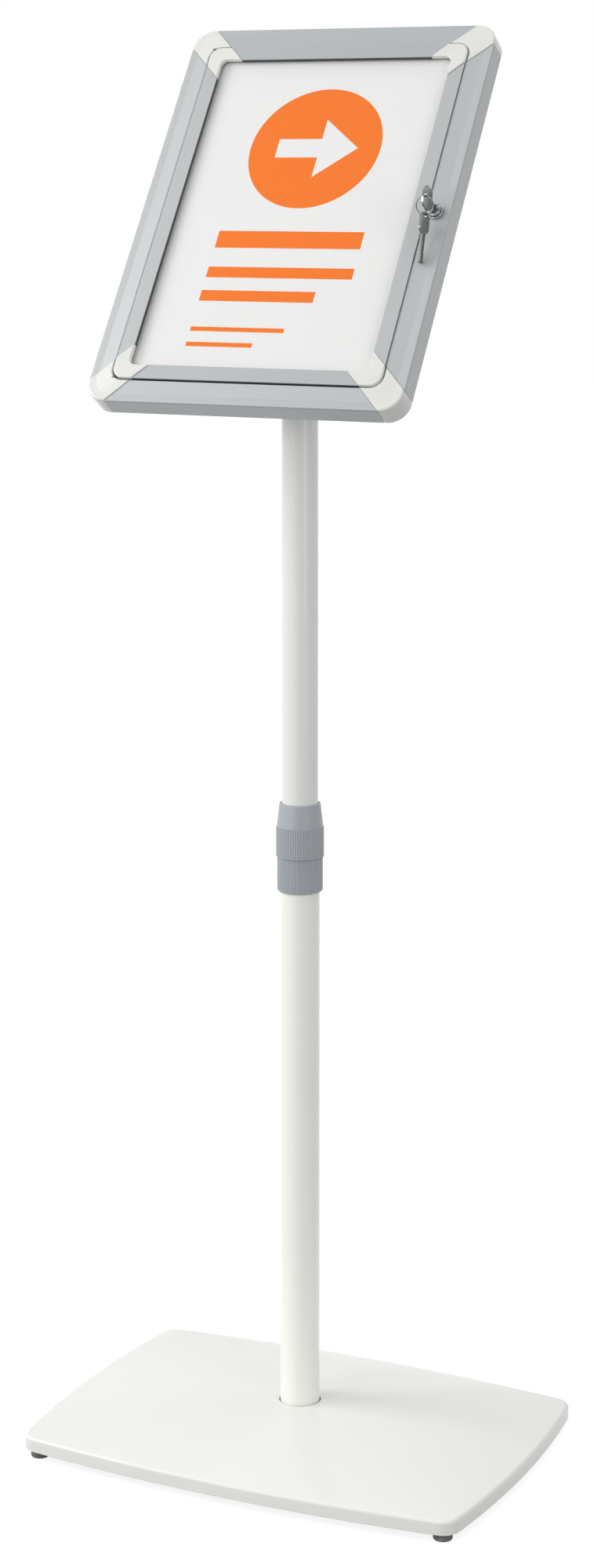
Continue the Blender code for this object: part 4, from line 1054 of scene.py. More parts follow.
@dataclass
class Mast:
    """Two tubes that slide in each other, and the ribbed collar that clamps them."""

    outer_radius: float = 16.0 * MM
    outer_low: float = 15.3 * MM
    outer_high: float = 472.0 * MM
    inner_radius: float = 14.8 * MM
    inner_low: float = 175.0 * MM
    inner_high: float = 922.0 * MM
    wall: float = 0.8 * MM
    collar_radius: float = 18.55 * MM
    collar_low: float = 453.5 * MM
    collar_high: float = 481.4 * MM
    collar_round: float = 2.0 * MM
    spigot_radius: float = 17.2 * MM
    spigot_high: float = 497.0 * MM
    bore: float = 15.1 * MM
    clamp_radius: float = 19.45 * MM
    clamp_low: float = 481.7 * MM
    clamp_shoulder: float = 506.0 * MM
    clamp_high: float = 525.5 * MM
    cone_low: float = 18.9 * MM
    cone_high: float = 16.65 * MM
    ribs: int = 60
    rib_depth: float = 0.6 * MM
    rib_steps: int = 6
    rib_fullness: float = 0.6
    end_steps: tuple[int, int] = (4, 3)
    steps: int = 128

    def tube(self, radius: float, low: float, high: float) -> Shape:
        """A tube with eased ends."""
        inner, ease = radius - self.wall, 0.2 * MM
        profile = [(inner, low), (radius - ease, low), (radius, low + ease)]
        profile += [(radius, high - ease), (radius - ease, high), (inner, high)]
        return revolve(profile, self.steps)

    def ribbed(self, radius: float, low: float, high: float, bore: float, ends: Plan) -> Shape:
        """A ring with rounded upright ribs that run out at its ends.

        Args:
            radius: Outer radius over the ribs.
            low: Its lower face.
            high: Its upper face.
            bore: Its inner radius.
            ends: Roundings of its lower and upper edge.

        Returns:
            The ring.
        """
        count = self.ribs * self.rib_steps

        def loop(inset: float, z: float) -> list[Point]:
            """One loop of the ribbed wall, at an inset from the outer radius."""
            points = []
            for i in range(count):
                turn = 2 * math.pi * i / count
                wave = 0.5 - 0.5 * math.cos(turn * self.ribs)
                groove = self.rib_depth * (1 - max(1 - wave, 0.0) ** self.rib_fullness)
                reach = radius - max(inset, groove)
                points.append((reach * math.cos(turn), reach * math.sin(turn), z))
            return points

        def ring(reach: float, z: float) -> list[Point]:
            """One plain loop."""
            return [(x, y, z) for x, y in circle_points(reach, count)]

        (lower, upper), (below, above) = ends, self.end_steps
        loops = [ring(bore, low)]
        for step in range(below + 1):
            turn = QUARTER * step / below
            inset, rise = lower * (1 - math.sin(turn)), lower * (1 - math.cos(turn))
            loops.append(loop(inset, low + rise))
        for step in range(above + 1):
            turn = QUARTER * step / above
            inset, drop = upper * (1 - math.cos(turn)), upper * (1 - math.sin(turn))
            loops.append(loop(inset, high - drop))
        loops.append(ring(bore, high))
        return bridged(loops, capped=False)

    def collar(self) -> Shape:
        """Ribbed collar on the outer tube, with the spigot that stands up inside the clamp."""
        seat, wide = self.outer_high + GAP, self.outer_radius + GAP
        shell = self.ribbed(
            self.collar_radius, self.collar_low, self.collar_high, wide,
            (self.collar_round, 0.3 * MM),
        )
        spigot: Section = [(self.bore, seat), (wide, seat), (wide, self.collar_high)]
        spigot += [(self.spigot_radius, self.collar_high)]
        spigot += [(self.spigot_radius, self.spigot_high), (self.bore, self.spigot_high)]
        return gathered(shell, revolve(spigot, self.steps))

    def clamp(self) -> Shape:
        """Ribbed clamp ring, with the cone above it."""
        bore = self.spigot_radius + GAP
        shell = self.ribbed(
            self.clamp_radius, self.clamp_low, self.clamp_shoulder, bore, (0.7 * MM, 0.35 * MM)
        )
        lip, ease, step = self.clamp_high - 4.9 * MM, 0.7 * MM, 0.25 * MM
        shoulder, root = self.clamp_shoulder, self.clamp_shoulder - 1.5 * MM
        cone: Section = [(bore, root), (self.cone_low - step, root)]
        cone += [(self.cone_low - step, shoulder), (self.cone_low, shoulder + step)]
        cone += [(self.cone_high + 0.12 * MM, self.clamp_high - ease)]
        cone += arc_points((self.cone_high - ease, self.clamp_high - ease), ease, 0.1, QUARTER, 4)
        cone += [(self.bore + step, self.clamp_high), (self.bore, self.clamp_high - 0.3 * MM)]
        cone += [(self.bore, lip), (self.bore + 1.1 * MM, lip), (bore, self.spigot_high + 1.0 * MM)]
        return gathered(shell, revolve(cone, self.steps))

    def bush(self) -> Shape:
        """Guide bush at the inner tube's lower end, with eased edges."""
        flange, spigot, bore = 14.9 * MM, 13.7 * MM, 10.1 * MM
        seat, ease = self.inner_low - GAP, 0.4 * MM
        low, high = seat - 3.0 * MM, seat + 15.0 * MM
        profile = [(bore, low), (flange - ease, low), (flange, low + ease), (flange, seat)]
        profile += [(spigot, seat), (spigot, high - ease), (spigot - ease, high), (bore, high)]
        return revolve(profile, 64)

    def make(self, shop: Workshop, kit: "Finishes") -> None:
        """Build and dress the mast's pieces.

        Args:
            shop: Makes the pieces.
            kit: The finishes.
        """
        lower = self.tube(self.outer_radius, self.outer_low, self.outer_high)
        shop.piece("outer_tube", lower, Body.BASE, kit.tube_paint, ["lower_tube"])
        upper = self.tube(self.inner_radius, self.inner_low, self.inner_high)
        # The inner tube wears a darker copy of the outer tube's white coat: painted shade
        shop.piece(
            "inner_tube", upper, Body.MAST, kit.inner_tube_shaded_coat, ["upper_tube"]
        )
        shop.piece(
            "ribbed_collar", self.collar(), Body.BASE, kit.collar_plastic,
            ["collar_body"], smooth=RIB_CREASE,
        )
        shop.piece(
            "ribbed_clamp", self.clamp(), Body.CLAMP, kit.collar_plastic,
            ["clamp_ring"], smooth=RIB_CREASE,
        )
        shop.piece(
            "tube_bush", self.bush(), Body.SLIDER, kit.black_plastic,
            ["guide_bush"],
        )
        shop.dress(kit.pale_plastic, "collet")


# ------------------------ case and door


@dataclass
class CaseAxes:
    """The case's own axes: X across, Y up the leaning face, Z out of the face."""

    pivot_height: float = 940.0 * MM
    above_pivot: float = 46.2 * MM
    before_pivot: float = 46.7 * MM

    def tilt(self) -> Matrix:
        """From the tilt bolt's axes to the stand's."""
        return moved(0, 0, self.pivot_height) @ turned(QUARTER - TILT, "X")

    def case(self) -> Matrix:
        """From the case's axes to the stand's."""
        return self.tilt() @ moved(0, self.above_pivot, self.before_pivot)


@dataclass(frozen=True)
class Hinge:
    """Axis of the door's two pins, in the case's axes."""

    x: float = -110.0 * MM
    z: float = -1.2 * MM
    hole: float = 1.5 * MM
    hole_steps: int = 24

    def place(self, sign_y: int) -> Matrix:
        """From a pin's axes, which run outwards from the door's middle, to the case's."""
        flip = turned(math.pi if sign_y < 0 else 0.0, "X")
        return moved(self.x, 0, self.z) @ flip @ ALONG_Y


@dataclass(frozen=True)
class Tongue:
    """A corner's tongue in a hollow profile: its limits from the frame's edges, and its heights."""

    near: float = 1.6 * MM
    far: float = 6.6 * MM
    root: float = 14.0 * MM
    tip: float = 37.6 * MM
    low: float = -8.0 * MM
    high: float = -1.6 * MM


@dataclass
class MitredFrame:
    """Four profiles between four corners, all swept from one pair of sections."""

    half_x: float
    half_y: float
    reach: float
    section: Section
    corner_section: Section
    radius_at: Callable[[float], float]
    tongue: Tongue
    bends: list[tuple[Plan, float, int]]
    corner_steps: int = 14

    def halves(self, side: Side) -> Plan:
        """Half sizes across and along a side."""
        return (self.half_x, self.half_y) if side.value % 2 == 0 else (self.half_y, self.half_x)

    def profile(self, side: Side) -> Shape:
        """A straight profile, eased along its edges and cut at 45 degrees.

        Args:
            side: Where it lies.

        Returns:
            The profile in the frame's axes.
        """
        across, along = self.halves(side)
        shape = bmesh.new()
        verts = [
            shape.verts.new((across - inward, -along, height)) for inward, height in self.section
        ]
        pushed(shape, [shape.faces.new(verts)], (0, 2 * along, 0))
        bmesh.ops.recalc_face_normals(shape, faces=shape.faces)
        for (inward, height), width, segments in self.bends:
            bend = Vector((across - inward, height))
            eased(
                shape, width, segments,
                lambda edge: all((vert.co.xz - bend).length < WELD * 4 for vert in edge.verts),
            )
        stop = along - self.reach - GAP
        for end in (-1, 1):
            point = (across, end * stop, 0)
            cut = bmesh.ops.bisect_plane(
                shape, geom=shape.verts[:] + shape.edges[:] + shape.faces[:], plane_co=point,
                plane_no=(-1, end, 0), clear_outer=True,
            )
            rim = [item for item in cut["geom_cut"] if isinstance(item, Edge)]
            bmesh.ops.contextual_create(shape, geom=rim)
        return tidied(shape, side.turn())

    def strip(self, side: Side, section: Section, spare: float = 0.0) -> Shape:
        """A plain strip along a profile, between the corners.

        Args:
            side: Where it lies.
            section: Its section, as (inward, height).
            spare: How much shorter it is at each end.

        Returns:
            The strip in the frame's axes.
        """
        across, along = self.halves(side)
        outline = [(across - inward, height) for inward, height in section]
        stop = along - self.reach - max(inward for inward, _ in section) - spare
        return extruded(outline, -stop, stop, side.turn() @ LENGTHWAYS)

    def corner(self, sign_x: int, sign_y: int, section: Section | None = None) -> Shape:
        """A moulded corner, swept from one cut round to the other.

        Args:
            sign_x: -1 on the left, 1 on the right.
            sign_y: -1 below, 1 above.
            section: Its section where it isn't the frame's own.

        Returns:
            The corner in the frame's axes.
        """
        ease = 0.35 * MM
        stations: list[Point] = [(0.0, 0.0, ease), (0.0, ease, 0.0)]
        for step in range(self.corner_steps + 1):
            stations.append((QUARTER * step / self.corner_steps, -1.0, 0.0))
        stations += [(QUARTER, ease, 0.0), (QUARTER, 0.0, ease)]
        loops = []
        for turn, back, shrink in stations:
            loop = []
            for inward, height in section or self.corner_section:
                if back < 0:
                    radius = self.radius_at(inward)
                    x = self.half_x - inward - radius * (1 - math.cos(turn))
                    y = self.half_y - inward - radius * (1 - math.sin(turn))
                elif turn == 0.0:
                    x, y = self.half_x - inward, self.half_y - self.reach - inward + back
                else:
                    x, y = self.half_x - self.reach - inward + back, self.half_y - inward
                drop = shrink * 0.7 if height > 0 else 0.0
                loop.append((sign_x * x, sign_y * y, height - drop))
            loops.append(loop)
        return bridged(loops)

    def tongues(self, sign_x: int, sign_y: int) -> list[Shape]:
        """Tongues that run from a corner into the hollow profiles beside it."""
        across, along = (self.tongue.near, self.tongue.far), (self.tongue.root, self.tongue.tip)
        shapes = []
        for from_x, from_y in ((across, along), (along, across)):
            xs = sorted(sign_x * (self.half_x - inward) for inward in from_x)
            ys = sorted(sign_y * (self.half_y - inward) for inward in from_y)
            shapes.append(block((xs[0], ys[0], self.tongue.low), (xs[1], ys[1], self.tongue.high)))
        return shapes


@dataclass
class Case:
    """Shallow poster case: mitred profiles, moulded corners, back, board and sheet."""

    axes: CaseAxes = field(default_factory=CaseAxes)
    half_x: float = 136.0 * MM
    half_y: float = 179.5 * MM
    depth: float = 19.3 * MM
    wall: float = 1.3 * MM
    band: float = 6.6 * MM
    face: float = 18.4 * MM
    rise: float = 1.4 * MM
    lip: float = 2.5 * MM
    flange: float = 8.0 * MM
    groove: float = 0.4 * MM
    groove_depth: float = 1.6 * MM
    reach: float = 18.0 * MM
    proud: float = 0.8 * MM
    ledge: float = 0.9 * MM
    block_depth: float = 9.0 * MM
    radii: Point = (16.5 * MM, 13.0 * MM, 11.0 * MM)
    hinge: Hinge = field(default_factory=Hinge)
    swing_radii: tuple[Plan, ...] = (
        (3.5, 6.9), (5.5, 5.95), (7.0, 5.25), (8.0, 4.8), (8.9, 4.95), (9.1, 5.7), (9.8, 5.7)
    )
    open_door: tuple[Plan, ...] = ((0.0, -3.0), (-4.7, -0.6), (-4.85, 0.0), (-6.1, 4.7), (0.0, 4.7))
    door_half_y: float = 159.6 * MM
    door_radius: float = 9.5 * MM
    lock_x: float = 123.6 * MM
    lock_y: float = -1.0 * MM
    barrel_hole: float = 5.4 * MM

    def slope(self, inward: float) -> float:
        """Height of the sloping face at a distance from the outer edge."""
        return self.rise * (inward - self.band) / (self.face - self.band)

    def radius_at(self, inward: float) -> float:
        """Corner radius at a distance from the outer edge."""
        outer, band, opening = self.radii
        if inward < self.band:
            return outer + (band - outer) * inward / self.band
        return band + (opening - band) * (inward - self.band) / (self.face - self.band)

    def section(self) -> Section:
        """Section of the extruded profile, as (inward, height)."""
        wall, back, dip = self.wall, -self.depth, -self.groove_depth
        points: Section = [(0, back), (0, dip - self.groove), (self.groove, dip - self.groove)]
        points += [(self.groove, dip), (0, dip), (0, 0), (self.band, 0), (self.face, self.rise)]
        inner = self.face - wall
        points += [(self.face, -self.lip), (inner, -self.lip), (inner, self.slope(inner) - wall)]
        points += [(self.band, -wall), (wall, -wall)]
        points += [(wall, back + wall), (self.flange, back + wall), (self.flange, back)]
        return points

    def corner_section(self, ledge: float = 0.0) -> Section:
        """Section of the moulded corner, rounded where it stands proud.

        Args:
            ledge: Width of the ledge that it has below the door's edge.

        Returns:
            The section, as (inward, height).
        """
        wall, back, proud, deep = self.wall, -self.depth, self.proud, -self.block_depth
        outer, inner, crease = 1.7 * MM, 1.0 * MM, 0.12 * MM
        points: Section = [(0.5 * MM, back), (0.15 * MM, back + 0.15 * MM), (0, back + 0.5 * MM)]
        points += arc_points((outer, proud - outer), outer, math.pi, QUARTER, 7)
        fold = self.band + crease
        points += [(self.band - crease, proud), (fold, proud + self.slope(fold))]
        top = self.rise + proud
        points += arc_points((self.face - inner, top - inner - crease), inner, QUARTER, 0, 5)
        if ledge:
            far, high = self.face + ledge, 0.1 * MM
            points += [(self.face, high), (far, high), (far, -self.lip)]
        else:
            points += [(self.face, -self.lip)]
        near = self.face - wall
        points += [(near, -self.lip), (near, self.slope(near) - wall)]
        points += [(self.flange, -wall), (self.flange, deep), (wall, deep)]
        points += [(wall, back + wall), (self.flange, back + wall), (self.flange, back)]
        return points

    def frame(self) -> MitredFrame:
        """The case's mitred frame."""
        bends = [
            ((self.band, 0.0), 0.5 * MM, 2), ((0.0, 0.0), 0.35 * MM, 3),
            ((self.face, self.rise), 0.35 * MM, 3), ((0.0, -self.depth), 0.4 * MM, 2),
        ]
        return MitredFrame(
            self.half_x, self.half_y, self.reach, self.section(), self.corner_section(),
            self.radius_at, Tongue(), bends,
        )

    def seals(self) -> dict[Side, Section]:
        """Sections of the soft strips that narrow the gap round the door."""
        near, low = self.face - 0.05 * MM, -1.6 * MM
        far, high = self.face + 0.95 * MM, 1.15 * MM
        square: Section = [(near, low), (far, low), (far, high), (near, high)]
        wedge: Section = [(near, -0.8 * MM), (near + 0.4 * MM, -0.6 * MM)]
        wedge += [(near + 0.65 * MM, high), (near, high)]
        return {Side.RIGHT: square, Side.TOP: square, Side.LEFT: wedge}

    def relieved(self, shop: Workshop, shape: Shape, sign_y: int) -> Shape:
        """Give a left-hand corner its hinge boss, pin hole and a pocket for the door to swing in.

        Args:
            shop: Does the cutting.
            shape: The corner.
            sign_y: -1 below, 1 above.

        Returns:
            The corner with its pocket.
        """
        edge, start = self.half_y - self.face, self.door_half_y - self.door_radius
        x, z, deep, half = self.hinge.x, self.hinge.z, 6.0 * MM, 3.0 * MM
        ys = sorted((sign_y * (edge + GAP), sign_y * (edge + deep + self.wall)))
        boss = block((x - half, ys[0], z - half), (x + half, ys[1], z + self.wall))
        ys = sorted((sign_y * (start + 4.0 * MM), sign_y * (edge + 0.4 * MM)))
        floor = block((x - 8.2 * MM, ys[0], -8.6 * MM), (x - 0.4 * MM, ys[1], -1.3 * MM))
        place = self.hinge.place(sign_y)
        hole = rod(self.hinge.hole, edge - deep, edge + deep + GAP, self.hinge.hole_steps, place)
        profile = [(radius * MM, start + along * MM) for along, radius in self.swing_radii]
        profile = [(0, profile[0][1]), *profile, (0, profile[-1][1])]
        swing = revolve(profile, 64, place)
        ys = sorted((sign_y * (start + 5.8 * MM), sign_y * (start + 9.8 * MM)))
        leaning = [(across * MM, up * MM) for across, up in self.open_door]
        stand = extruded(leaning, *ys, moved(x, 0, z) @ LENGTHWAYS)
        shape = shop.carved(shape, Step.JOIN, boss, floor)
        return shop.carved(shape, Step.CUT, hole, swing, stand)

    def stud(self) -> Shape:
        """Stud on which the case turns: a domed tail with a groove, and a flat head inside."""
        board, tail, radius, head = -16.2 * MM, -24.6 * MM, 4.0 * MM, 8.0 * MM
        end, front = tail - 2.0 * MM, board + 3.0 * MM
        profile: Section = [(0, end), (3.2 * MM, end), (3.6 * MM, tail - 1.7 * MM), (4.4 * MM, end)]
        profile += [(6.6 * MM, tail - 1.8 * MM), (7.7 * MM, tail - 1.1 * MM)]
        profile += [(head, tail - 0.4 * MM), (head, tail), (radius, tail), (radius, board)]
        profile += [(head, board), (head, board + 2.2 * MM), (7.2 * MM, front), (0, front)]
        return revolve(profile, 64)

    def swivel(self, shop: Workshop) -> Shape:
        """Round swivel plate with eased rims and its bores."""
        low, high, radius, ease = -21.0 * MM, -18.0 * MM, 40.0 * MM, 0.5 * MM
        profile = [(0, low), (radius - ease, low), (radius, low + ease), (radius, high - ease)]
        profile += [(radius - ease, high), (0, high)]
        bores = [rod(4.3 * MM, 2 * low, 0, 48)]
        for side in (-1, 1):
            bores.append(rod(2.3 * MM, 2 * low, 0, 32, moved(side * 28 * MM, 0, 0)))
        return shop.carved(revolve(profile, 128), Step.CUT, *bores)

    def make(self, shop: Workshop, kit: "Finishes") -> None:
        """Build and dress the case's pieces.

        Args:
            shop: Makes the pieces.
            kit: The finishes.
        """
        place = self.axes.case()
        frame = self.frame()
        for side in Side:
            shape = frame.profile(side)
            if side is Side.RIGHT:
                at = moved(self.lock_x, self.lock_y, 0)
                hole = rod(self.barrel_hole, -5.0 * MM, 8.0 * MM, 48, at)
                shape = shop.carved(shape, Step.CUT, hole)
            metal = kit.case_metal[side.value % 2]
            word = side.name.lower()
            shop.piece(
                f"case_rail_{word}", shape, Body.CASE, metal, [f"case_profile_{word}"],
                place, smooth=RAIL_CREASE,
            )
        for side, section in self.seals().items():
            shop.piece(
                f"case_seal_{side.name.lower()}", frame.strip(side, section, GAP), Body.CASE,
                kit.seal_rubber, place=place,
            )
        for corner in Corner:
            sign_x, sign_y = corner.value
            section = self.corner_section(self.ledge if sign_x > 0 else 0.0)
            shape = frame.corner(sign_x, sign_y, section)
            shape = shop.carved(shape, Step.JOIN, *frame.tongues(sign_x, sign_y))
            if sign_x < 0:
                shape = self.relieved(shop, shape, sign_y)
            word = corner.name.lower()
            shop.piece(
                f"case_cap_{word}", shape, Body.CASE, kit.white_plastic, [f"case_corner_{word}"],
                place, smooth=CAP_CREASE,
            )
        shop.piece(
            "turning_stud", self.stud(), Body.CASE, kit.zinc, ["swivel_bolt"], place
        )
        shop.piece(
            "turning_plate", self.swivel(shop), Body.CASE, kit.dark_paint,
            ["swivel_plate"], place,
        )
        shop.dress(kit.panel_metal, "back_panel")
        shop.dress(kit.zinc, "swivel_rivet_right", "swivel_rivet_left")
        shop.dress(kit.dark_steel, "hinge_pin_top", "hinge_pin_bottom")
        shop.dress(kit.board, "backing_board")
        shop.piece(
            "printed_insert", Insert().shape(), Body.CASE, [kit.paper, kit.ink],
            ["insert_sheet"], place, smooth=SHEET_CREASE,
        )


@dataclass
class Insert:
    """Printed sheet: a round panel with a bare arrow in it, three wide bars and two thin ones."""

    half_x: float = 105.0 * MM
    half_y: float = 148.5 * MM
    back: float = -3.6 * MM
    front: float = -3.15 * MM
    ink_rise: float = 0.05 * MM
    ink_sink: float = 0.1 * MM
    margin: float = -62.0
    bars: tuple[Point, ...] = (
        (66, -34, 16), (66, -62, 10), (38, -84, 10), (20, -112, 4), (-4, -126, 4)
    )
    panel_middle: Plan = (2 * MM, 62 * MM)
    panel_radius: float = 58 * MM
    arrow: tuple[Plan, ...] = ((-34, -9), (4, -9), (4, -28), (38, 0), (4, 28), (4, 9), (-34, 9))

    def bar(self, right: float, low: float, height: float) -> Section:
        """Outline of one inked bar, in the sheet's own plan and in millimetres."""
        corners = (
            (self.margin, low), (right, low), (right, low + height), (self.margin, low + height)
        )
        return [(x * MM, y * MM) for x, y in corners]

    def shape(self) -> Shape:
        """The sheet, with its inked areas as a second material.

        Returns:
            The shape in the case's axes.
        """
        x, y = self.half_x, self.half_y
        sheet = block((-x, -y, self.back), (x, y, self.front))
        low, high = self.front - self.ink_sink, self.front + self.ink_rise
        inked = [extruded(self.bar(*bar), low, high) for bar in self.bars]
        inked.append(self.disc(low, high))
        for part in inked:
            for face in part.faces:
                face.material_index = 1
        return gathered(sheet, *inked)

    def disc(self, low: float, high: float) -> Shape:
        """Round inked panel with an arrow left bare in it.

        Args:
            low: Height of its lower face.
            high: Height of its upper face.

        Returns:
            The panel.
        """
        middle_x, middle_y = self.panel_middle
        plan = [(middle_x + x * MM, middle_y + y * MM) for x, y in self.arrow]
        rim = circle_points(self.panel_radius, 120, self.panel_middle)
        panel = bmesh.new()
        edges = []
        for outline in (rim, plan):
            ring = [panel.verts.new((x, y, low)) for x, y in outline]
            edges += [panel.edges.new(pair) for pair in zip(ring, ring[1:] + ring[:1])]
        bmesh.ops.triangle_fill(panel, edges=edges, use_beauty=True)
        hole = [face for face in panel.faces if self.inside(face.calc_center_median(), plan)]
        bmesh.ops.delete(panel, geom=hole, context="FACES_ONLY")
        pushed(panel, panel.faces[:], (0, 0, high - low), kept=True)
        return tidied(panel)

    @staticmethod
    def inside(point: Vector, plan: Section) -> bool:
        """Whether a point lies inside an outline."""
        found = False
        for (ax, ay), (bx, by) in zip(plan, plan[1:] + plan[:1]):
            if (ay > point.y) != (by > point.y):
                crossing = (bx - ax) * (point.y - ay) / (by - ay) + ax
                found = found != (point.x < crossing)
        return found


@dataclass
class Door:
    """Hinged door: four strips, four corners, the window and the keeper."""

    axes: CaseAxes = field(default_factory=CaseAxes)
    half_x: float = 116.1 * MM
    half_y: float = 159.6 * MM
    strip: float = 12.35 * MM
    top: float = 2.4 * MM
    sheet: float = 1.5 * MM
    wall: float = 1.25 * MM
    leg: float = 4.8 * MM
    leg_wall: float = 1.3 * MM
    ledge: float = 2.0 * MM
    ledge_sheet: float = 1.0 * MM
    return_drop: float = 1.4 * MM
    inner_drop: float = 1.3 * MM
    window_sheet: float = 2.0 * MM
    outer_radius: float = 9.5 * MM
    sight_radius: float = 5.5 * MM
    reach: float = 18.0 * MM
    proud: float = 0.8 * MM
    hinge: Hinge = field(default_factory=Hinge)

    def radius_at(self, inward: float) -> float:
        """Corner radius at a distance from the door's edge."""
        return self.outer_radius + (self.sight_radius - self.outer_radius) * inward / self.strip

    def levels(self) -> tuple[float, float, float, float]:
        """Heights of the strip's back, the inner leg's foot, and the ledge's two faces."""
        back = self.top - self.sheet
        foot = back - self.inner_drop
        ledge_front = foot - 2 * GAP - self.window_sheet
        return back, foot, ledge_front, ledge_front - self.ledge_sheet

    def below(self) -> Section:
        """The part of the section behind the strip."""
        back, foot, ledge_front, ledge_back = self.levels()
        inner, deep = self.strip - self.wall, self.leg + self.leg_wall
        points: Section = [(self.strip, foot), (inner, foot), (inner, back), (deep, back)]
        points += [(deep, ledge_front), (deep + self.ledge, ledge_front)]
        points += [(deep + self.ledge, ledge_back), (self.leg, ledge_back)]
        points += [(self.leg, back), (self.wall, back), (self.wall, back - self.return_drop)]
        return points

    def section(self) -> Section:
        """Section of the extruded strip, as (inward, height)."""
        back = self.levels()[0]
        points: Section = [(0, back - self.return_drop), (0, self.top), (self.strip, self.top)]
        return points + self.below()

    def corner_section(self) -> Section:
        """Section of the moulded corner, rounded where it stands proud."""
        back = self.levels()[0]
        high, ease = self.top + self.proud, 1.0 * MM
        points: Section = [(0, back - self.return_drop)]
        points += arc_points((ease, high - ease), ease, math.pi, QUARTER, 5)
        points += arc_points((self.strip - ease, high - ease), ease, QUARTER, 0, 5)
        return points + self.below()

    def frame(self) -> MitredFrame:
        """The door's mitred frame."""
        back = self.levels()[0]
        tongue = Tongue(
            near=self.wall + GAP, far=self.leg - GAP, root=self.leg + self.leg_wall / 2,
            tip=self.reach + self.leg + 12.0 * MM, low=back - self.return_drop - GAP,
            high=back - GAP,
        )
        bends = [((0.0, self.top), 0.3 * MM, 3), ((self.strip, self.top), 0.3 * MM, 3)]
        return MitredFrame(
            self.half_x, self.half_y, self.reach, self.section(), self.corner_section(),
            self.radius_at, tongue, bends,
        )

    def bored(self, shop: Workshop, shape: Shape, sign_y: int) -> Shape:
        """Give a left-hand corner its boss and hole for the hinge pin."""
        back, _, _, ledge_back = self.levels()
        x, half = self.hinge.x, 2.6 * MM
        low, high = self.half_y - self.leg - self.leg_wall, self.half_y - 2.4 * MM
        ys = sorted((sign_y * low, sign_y * high))
        boss = block((x - half, ys[0], ledge_back), (x + half, ys[1], back + GAP))
        hole = rod(
            self.hinge.hole, low - self.wall, self.half_y + self.wall, self.hinge.hole_steps,
            self.hinge.place(sign_y),
        )
        return shop.carved(shop.carved(shape, Step.JOIN, boss), Step.CUT, hole)

    def recess_shade_strip(self) -> Section:
        """Section of the dark strip along the strip's inner edge, painted shade for the shadow in
        the window's recess.
        """
        near, far, low, high = self.strip - 0.05 * MM, self.strip + 0.3 * MM, -0.65 * MM, 1.7 * MM
        return [(near, low), (far, low), (far, high - 0.1 * MM), (near, high)]

    def lower_edge_shade_strip(self) -> Section:
        """Section of the dark strip on the lower edge, painted shade for the dark underside of the
        door's lower edge.
        """
        out, inner, low, high = -0.35 * MM, 0.05 * MM, -0.45 * MM, 1.75 * MM
        return [(out, low), (inner, low), (inner, high), (out, high - 0.15 * MM)]

    def pane(self) -> Shape:
        """Clear window with round corners."""
        _, foot, ledge_front, _ = self.levels()
        inset = self.leg + self.leg_wall + GAP
        radius = self.radius_at(self.leg + self.leg_wall) + GAP
        outline = rounded_outline(self.half_x - inset, self.half_y - inset, radius)
        return extruded(outline, ledge_front + GAP, foot - GAP)

    def make(self, shop: Workshop, kit: "Finishes") -> None:
        """Build and dress the door's pieces.

        Args:
            shop: Makes the pieces.
            kit: The finishes.
        """
        place = self.axes.case()
        frame = self.frame()
        for side in Side:
            word = side.name.lower()
            shop.piece(
                f"door_rail_{word}", frame.profile(side), Body.DOOR, kit.door_metal[side.value % 2],
                [f"door_profile_{word}"], place, smooth=RAIL_CREASE,
            )
            # A dark strip along each rail's inner edge: painted shade for the window's recess
            shop.piece(
                f"pane_recess_shade_{word}", frame.strip(side, self.recess_shade_strip()), Body.DOOR,
                kit.painted_shade_black, place=place,
            )
        # The dark strip on the lower edge is painted shade for the door's underside
        shop.piece(
            "door_lower_edge_shade", frame.strip(Side.BOTTOM, self.lower_edge_shade_strip(), GAP), Body.DOOR,
            kit.painted_shade_black, place=place,
        )
        for corner in Corner:
            sign_x, sign_y = corner.value
            shape = frame.corner(sign_x, sign_y)
            shape = shop.carved(shape, Step.JOIN, *frame.tongues(sign_x, sign_y))
            if sign_x < 0:
                shape = self.bored(shop, shape, sign_y)
            word = corner.name.lower()
            shop.piece(
                f"door_cap_{word}", shape, Body.DOOR, kit.white_plastic, [f"door_corner_{word}"],
                place, smooth=CAP_CREASE,
            )
        shop.piece("clear_pane", self.pane(), Body.DOOR, kit.clear, ["window"], place)
        shop.dress(kit.zinc, "keeper")


# ------------------------ lock and keys


